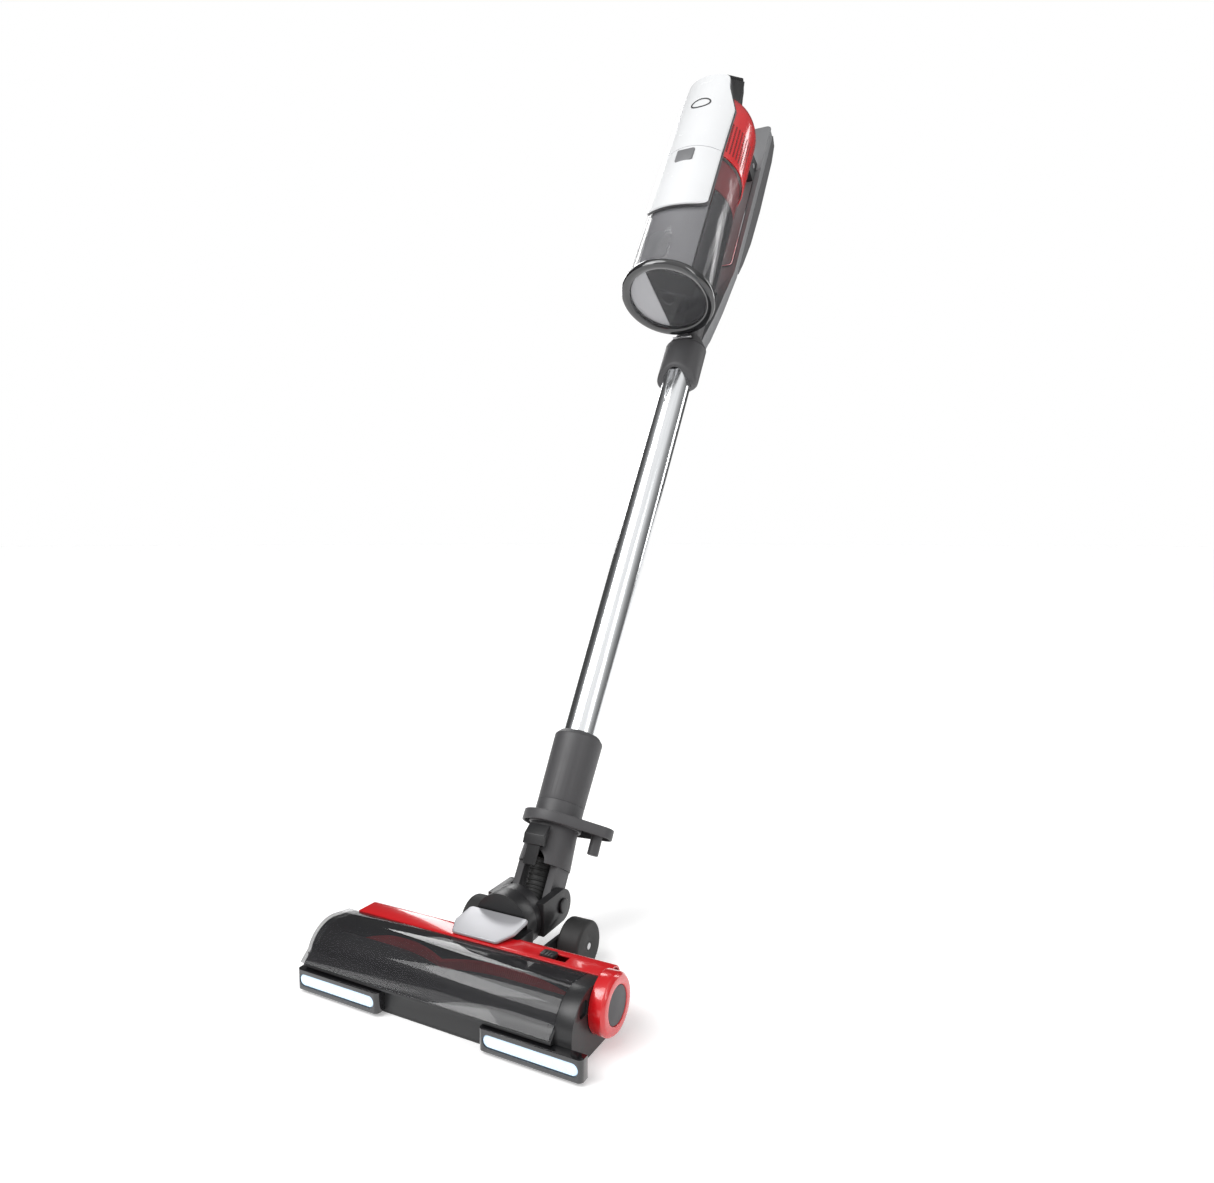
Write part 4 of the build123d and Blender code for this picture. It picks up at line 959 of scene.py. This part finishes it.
class PanelBossesOperator(bpy.types.Operator):
    """Small grip bosses on the control panel"""

    bl_idname = "vacuum.panel_bosses"
    bl_label = "Panel bosses"

    def execute(self, context):
        normal = (FORWARD * 60.0 + UP_WAND * 46.0).normalized()
        up = normal.cross(Vector((1, 0, 0)))
        origin = RING + FORWARD * 0.095 + UP_WAND * 0.382
        turn = Matrix((Vector((1, 0, 0)), up, normal)).transposed().to_4x4()
        plate = Matrix.Translation(origin) @ turn @ Matrix.Scale(MM, 4)
        tree = flat_grid_tree("black_plastic")
        for name, y, rows in (("low", -23.0, 7), ("high", 31.0, 3)):
            grow(
                "panel_bosses_" + name, tree, plate @ Matrix.Translation((0, y, 4.1)), "black_plastic",
                "hand_unit", Columns=8, Rows=rows, Column_step=3.6, Row_step=3.6, Boss_radius=0.95,
                Boss_height=0.9,
            )
        return {"FINISHED"}


class HoseOperator(bpy.types.Operator):
    """Ribbed hose that bends between the neck and the knuckle"""

    bl_idname = "vacuum.hose"
    bl_label = "Flexible hose"

    def execute(self, context):
        pivot = (PIVOT - Vector((0, FRONT_Y, 0))) / MM
        foot_z = 46.0
        slope = Vector((0, sin(LEAN), cos(LEAN)))
        corner = Vector((0, pivot.y - (pivot.z - foot_z) * slope.y / slope.z, foot_z))
        turn = pi / 2 - LEAN
        points = []
        bend = 28.0
        reach = bend * (1 - cos(turn)) / sin(turn)
        start = corner - Vector((0, reach, 0))
        centre = start + Vector((0, 0, bend))
        points.append(Vector((0, pivot.y - 35.0, foot_z)))
        for step in range(13):
            angle = turn * step / 12
            points.append(centre + Vector((0, bend * sin(angle), -bend * cos(angle))))
        points.append(pivot + slope * 36.0)
        piece = grow(
            "flexible_hose_ribbed", rib_tree("rubber_black"), HEAD, "rubber_black", "neck",
            base=points_mesh("hose_line", [tuple(p) for p in points]), Ribs=15, Hose_radius=11.3,
            Rib_radius=1.1,
        )
        piece.parent = None
        del piece["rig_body"]
        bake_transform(piece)
        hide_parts("flexible_hose")
        return {"FINISHED"}


class StageOperator(bpy.types.Operator):
    """Pale floor and backdrop, soft studio lights and the camera"""

    bl_idname = "vacuum.stage"
    bl_label = "Stage"

    CAMERA_AT = (0.4274, -0.9148, 0.3920)
    CAMERA_TURN = radians(27.807)
    CAMERA_DROP = radians(3.888)
    LENS_MM = 25.49
    SENSOR_MM = 36.0
    BRIGHT_SIDE = (0.40, -0.50, 0.77)
    STUDIO_LEVELS = ((0.0, 0.06), (0.52, 0.08), (0.67, 0.22), (0.80, 0.42), (0.91, 0.90), (1.0, 1.0))

    def execute(self, context):
        self.backdrop()
        self.world(context.scene)
        self.sun(radians(38), radians(-25), 1.5)
        self.light("key_softbox", (-1.3, -1.9, 2.1), (0, 0, 0.45), (1.2, 1.2), 20)
        self.light("right_softbox", (2.3, -0.9, 1.6), (0, 0, 0.45), (0.5, 1.8), 10)
        self.light("rear_left_strip", (-1.6, 1.7, 1.5), (0, 0.1, 0.5), (0.5, 1.8), 14)
        self.light("rear_right_strip", (1.5, 2.0, 1.3), (0, 0.1, 0.5), (0.4, 1.8), 12)
        self.camera(context.scene)
        return {"FINISHED"}

    def backdrop(self):
        """A wide round floor."""
        steps = 64
        verts = [(30 * cos(2 * pi * k / steps), 30 * sin(2 * pi * k / steps), -0.0002) for k in range(steps)]
        faces = [tuple(range(steps))]
        mesh = bpy.data.meshes.new("studio_floor")
        mesh.from_pydata(verts, [], faces)
        for polygon in mesh.polygons:
            polygon.use_smooth = True
        floor = link_mesh("studio_floor", mesh)
        material, shader, tree = new_material("floor_paper")
        vary_colour(tree, shader, (0.93, 0.93, 0.93), object_noise(tree, 1.5), 0.01)
        shader.inputs["Roughness"].default_value = 0.75
        shader.inputs["Specular IOR Level"].default_value = 0.2
        shader.inputs["Emission Color"].default_value = (1, 1, 1, 1)
        shader.inputs["Emission Strength"].default_value = 0.3
        add_bump(tree, shader, object_noise(tree, 800.0), 0.02, 0.0002)
        floor.data.materials.append(material)

    def world(self, scene):
        """White to the camera, even for diffuse light, and a dark studio with one bright side for gloss."""
        world = bpy.data.worlds.new("studio")
        world.use_nodes = True
        tree = world.node_tree
        output = tree.nodes["World Output"]
        tree.nodes.remove(tree.nodes["Background"])
        rays = tree.nodes.new("ShaderNodeLightPath")
        place = tree.nodes.new("ShaderNodeTexCoord")
        facing = tree.nodes.new("ShaderNodeVectorMath")
        facing.operation = "DOT_PRODUCT"
        facing.inputs[1].default_value = self.BRIGHT_SIDE
        ramp = tree.nodes.new("ShaderNodeValToRGB")
        for position, level in self.STUDIO_LEVELS[1:-1]:
            ramp.color_ramp.elements.new(position).color = (level, level, level, 1)
        for element, (position, level) in zip(ramp.color_ramp.elements, self.STUDIO_LEVELS):
            element.position = position
            element.color = (level, level, level, 1)
        spread = tree.nodes.new("ShaderNodeMapRange")
        spread.inputs["From Min"].default_value = -1.0
        tree.links.new(place.outputs["Generated"], facing.inputs[0])
        tree.links.new(facing.outputs["Value"], spread.inputs["Value"])
        tree.links.new(spread.outputs["Result"], ramp.inputs["Fac"])
        gloss = tree.nodes.new("ShaderNodeBackground")
        tree.links.new(ramp.outputs["Color"], gloss.inputs["Color"])
        diffuse = tree.nodes.new("ShaderNodeBackground")
        diffuse.inputs["Strength"].default_value = 0.40
        seen = tree.nodes.new("ShaderNodeBackground")
        seen.inputs["Strength"].default_value = 1.0
        for background in (diffuse, seen):
            background.inputs["Color"].default_value = (1, 1, 1, 1)
        first = tree.nodes.new("ShaderNodeMixShader")
        second = tree.nodes.new("ShaderNodeMixShader")
        tree.links.new(rays.outputs["Is Diffuse Ray"], first.inputs["Fac"])
        tree.links.new(gloss.outputs[0], first.inputs[1])
        tree.links.new(diffuse.outputs[0], first.inputs[2])
        tree.links.new(rays.outputs["Is Camera Ray"], second.inputs["Fac"])
        tree.links.new(first.outputs[0], second.inputs[1])
        tree.links.new(seen.outputs[0], second.inputs[2])
        tree.links.new(second.outputs[0], output.inputs["Surface"])
        scene.world = world
        scene.view_settings.view_transform = "Standard"

    def sun(self, tilt, turn, power):
        lamp = bpy.data.lights.new("soft_sun", "SUN")
        lamp.energy = power
        lamp.angle = radians(40)
        holder = bpy.data.objects.new("soft_sun", lamp)
        holder.rotation_euler = (tilt, 0, turn)
        bpy.context.scene.collection.objects.link(holder)

    def light(self, name, place, target, size, power):
        lamp = bpy.data.lights.new(name, "AREA")
        lamp.shape = "RECTANGLE"
        lamp.size, lamp.size_y = size
        lamp.energy = power
        holder = bpy.data.objects.new(name, lamp)
        holder.location = place
        holder.rotation_euler = (Vector(target) - Vector(place)).to_track_quat("-Z", "Y").to_euler()
        bpy.context.scene.collection.objects.link(holder)

    def camera(self, scene):
        camera = bpy.data.cameras.new("camera")
        camera.lens = self.LENS_MM
        camera.sensor_width = self.SENSOR_MM
        camera.clip_start = 0.02
        holder = bpy.data.objects.new("camera", camera)
        holder.location = self.CAMERA_AT
        holder.rotation_euler = (pi / 2 - self.CAMERA_DROP, 0, self.CAMERA_TURN)
        scene.collection.objects.link(holder)
        scene.camera = holder


class VacuumPanel(bpy.types.Panel):
    """Lists the pieces of the vacuum cleaner"""

    bl_idname = "VIEW3D_PT_vacuum"
    bl_label = "Upright vacuum cleaner"
    bl_space_type = "VIEW_3D"
    bl_region_type = "UI"
    bl_category = "Vacuum"

    def draw(self, context):
        layout = self.layout
        for operator in OPERATORS:
            layout.operator(operator.bl_idname)
        for group in (context.scene.vacuum_sizes, context.scene.vacuum_colours):
            for setting in group.bl_rna.properties.keys()[1:]:
                layout.prop(group, setting)


OPERATORS = (
    CadPartsOperator, HousingVentsOperator, CoversOperator, DustBinOperator, HandleOperator, WandTubeOperator,
    BrushOperator, LightsOperator, PanelBossesOperator, HoseOperator, StageOperator,
)
CLASSES = (VacuumColours, VacuumSizes, *OPERATORS, VacuumPanel)


def register():
    for cls in CLASSES:
        bpy.utils.register_class(cls)
    bpy.types.Scene.vacuum_colours = bpy.props.PointerProperty(type=VacuumColours)
    bpy.types.Scene.vacuum_sizes = bpy.props.PointerProperty(type=VacuumSizes)


def unregister():
    del bpy.types.Scene.vacuum_sizes
    del bpy.types.Scene.vacuum_colours
    for cls in reversed(CLASSES):
        bpy.utils.unregister_class(cls)


def main():
    register()
    make_materials()
    for operator in OPERATORS:
        group, action = operator.bl_idname.split(".")
        getattr(getattr(bpy.ops, group), action)()


if __name__ == "__main__":
    main()
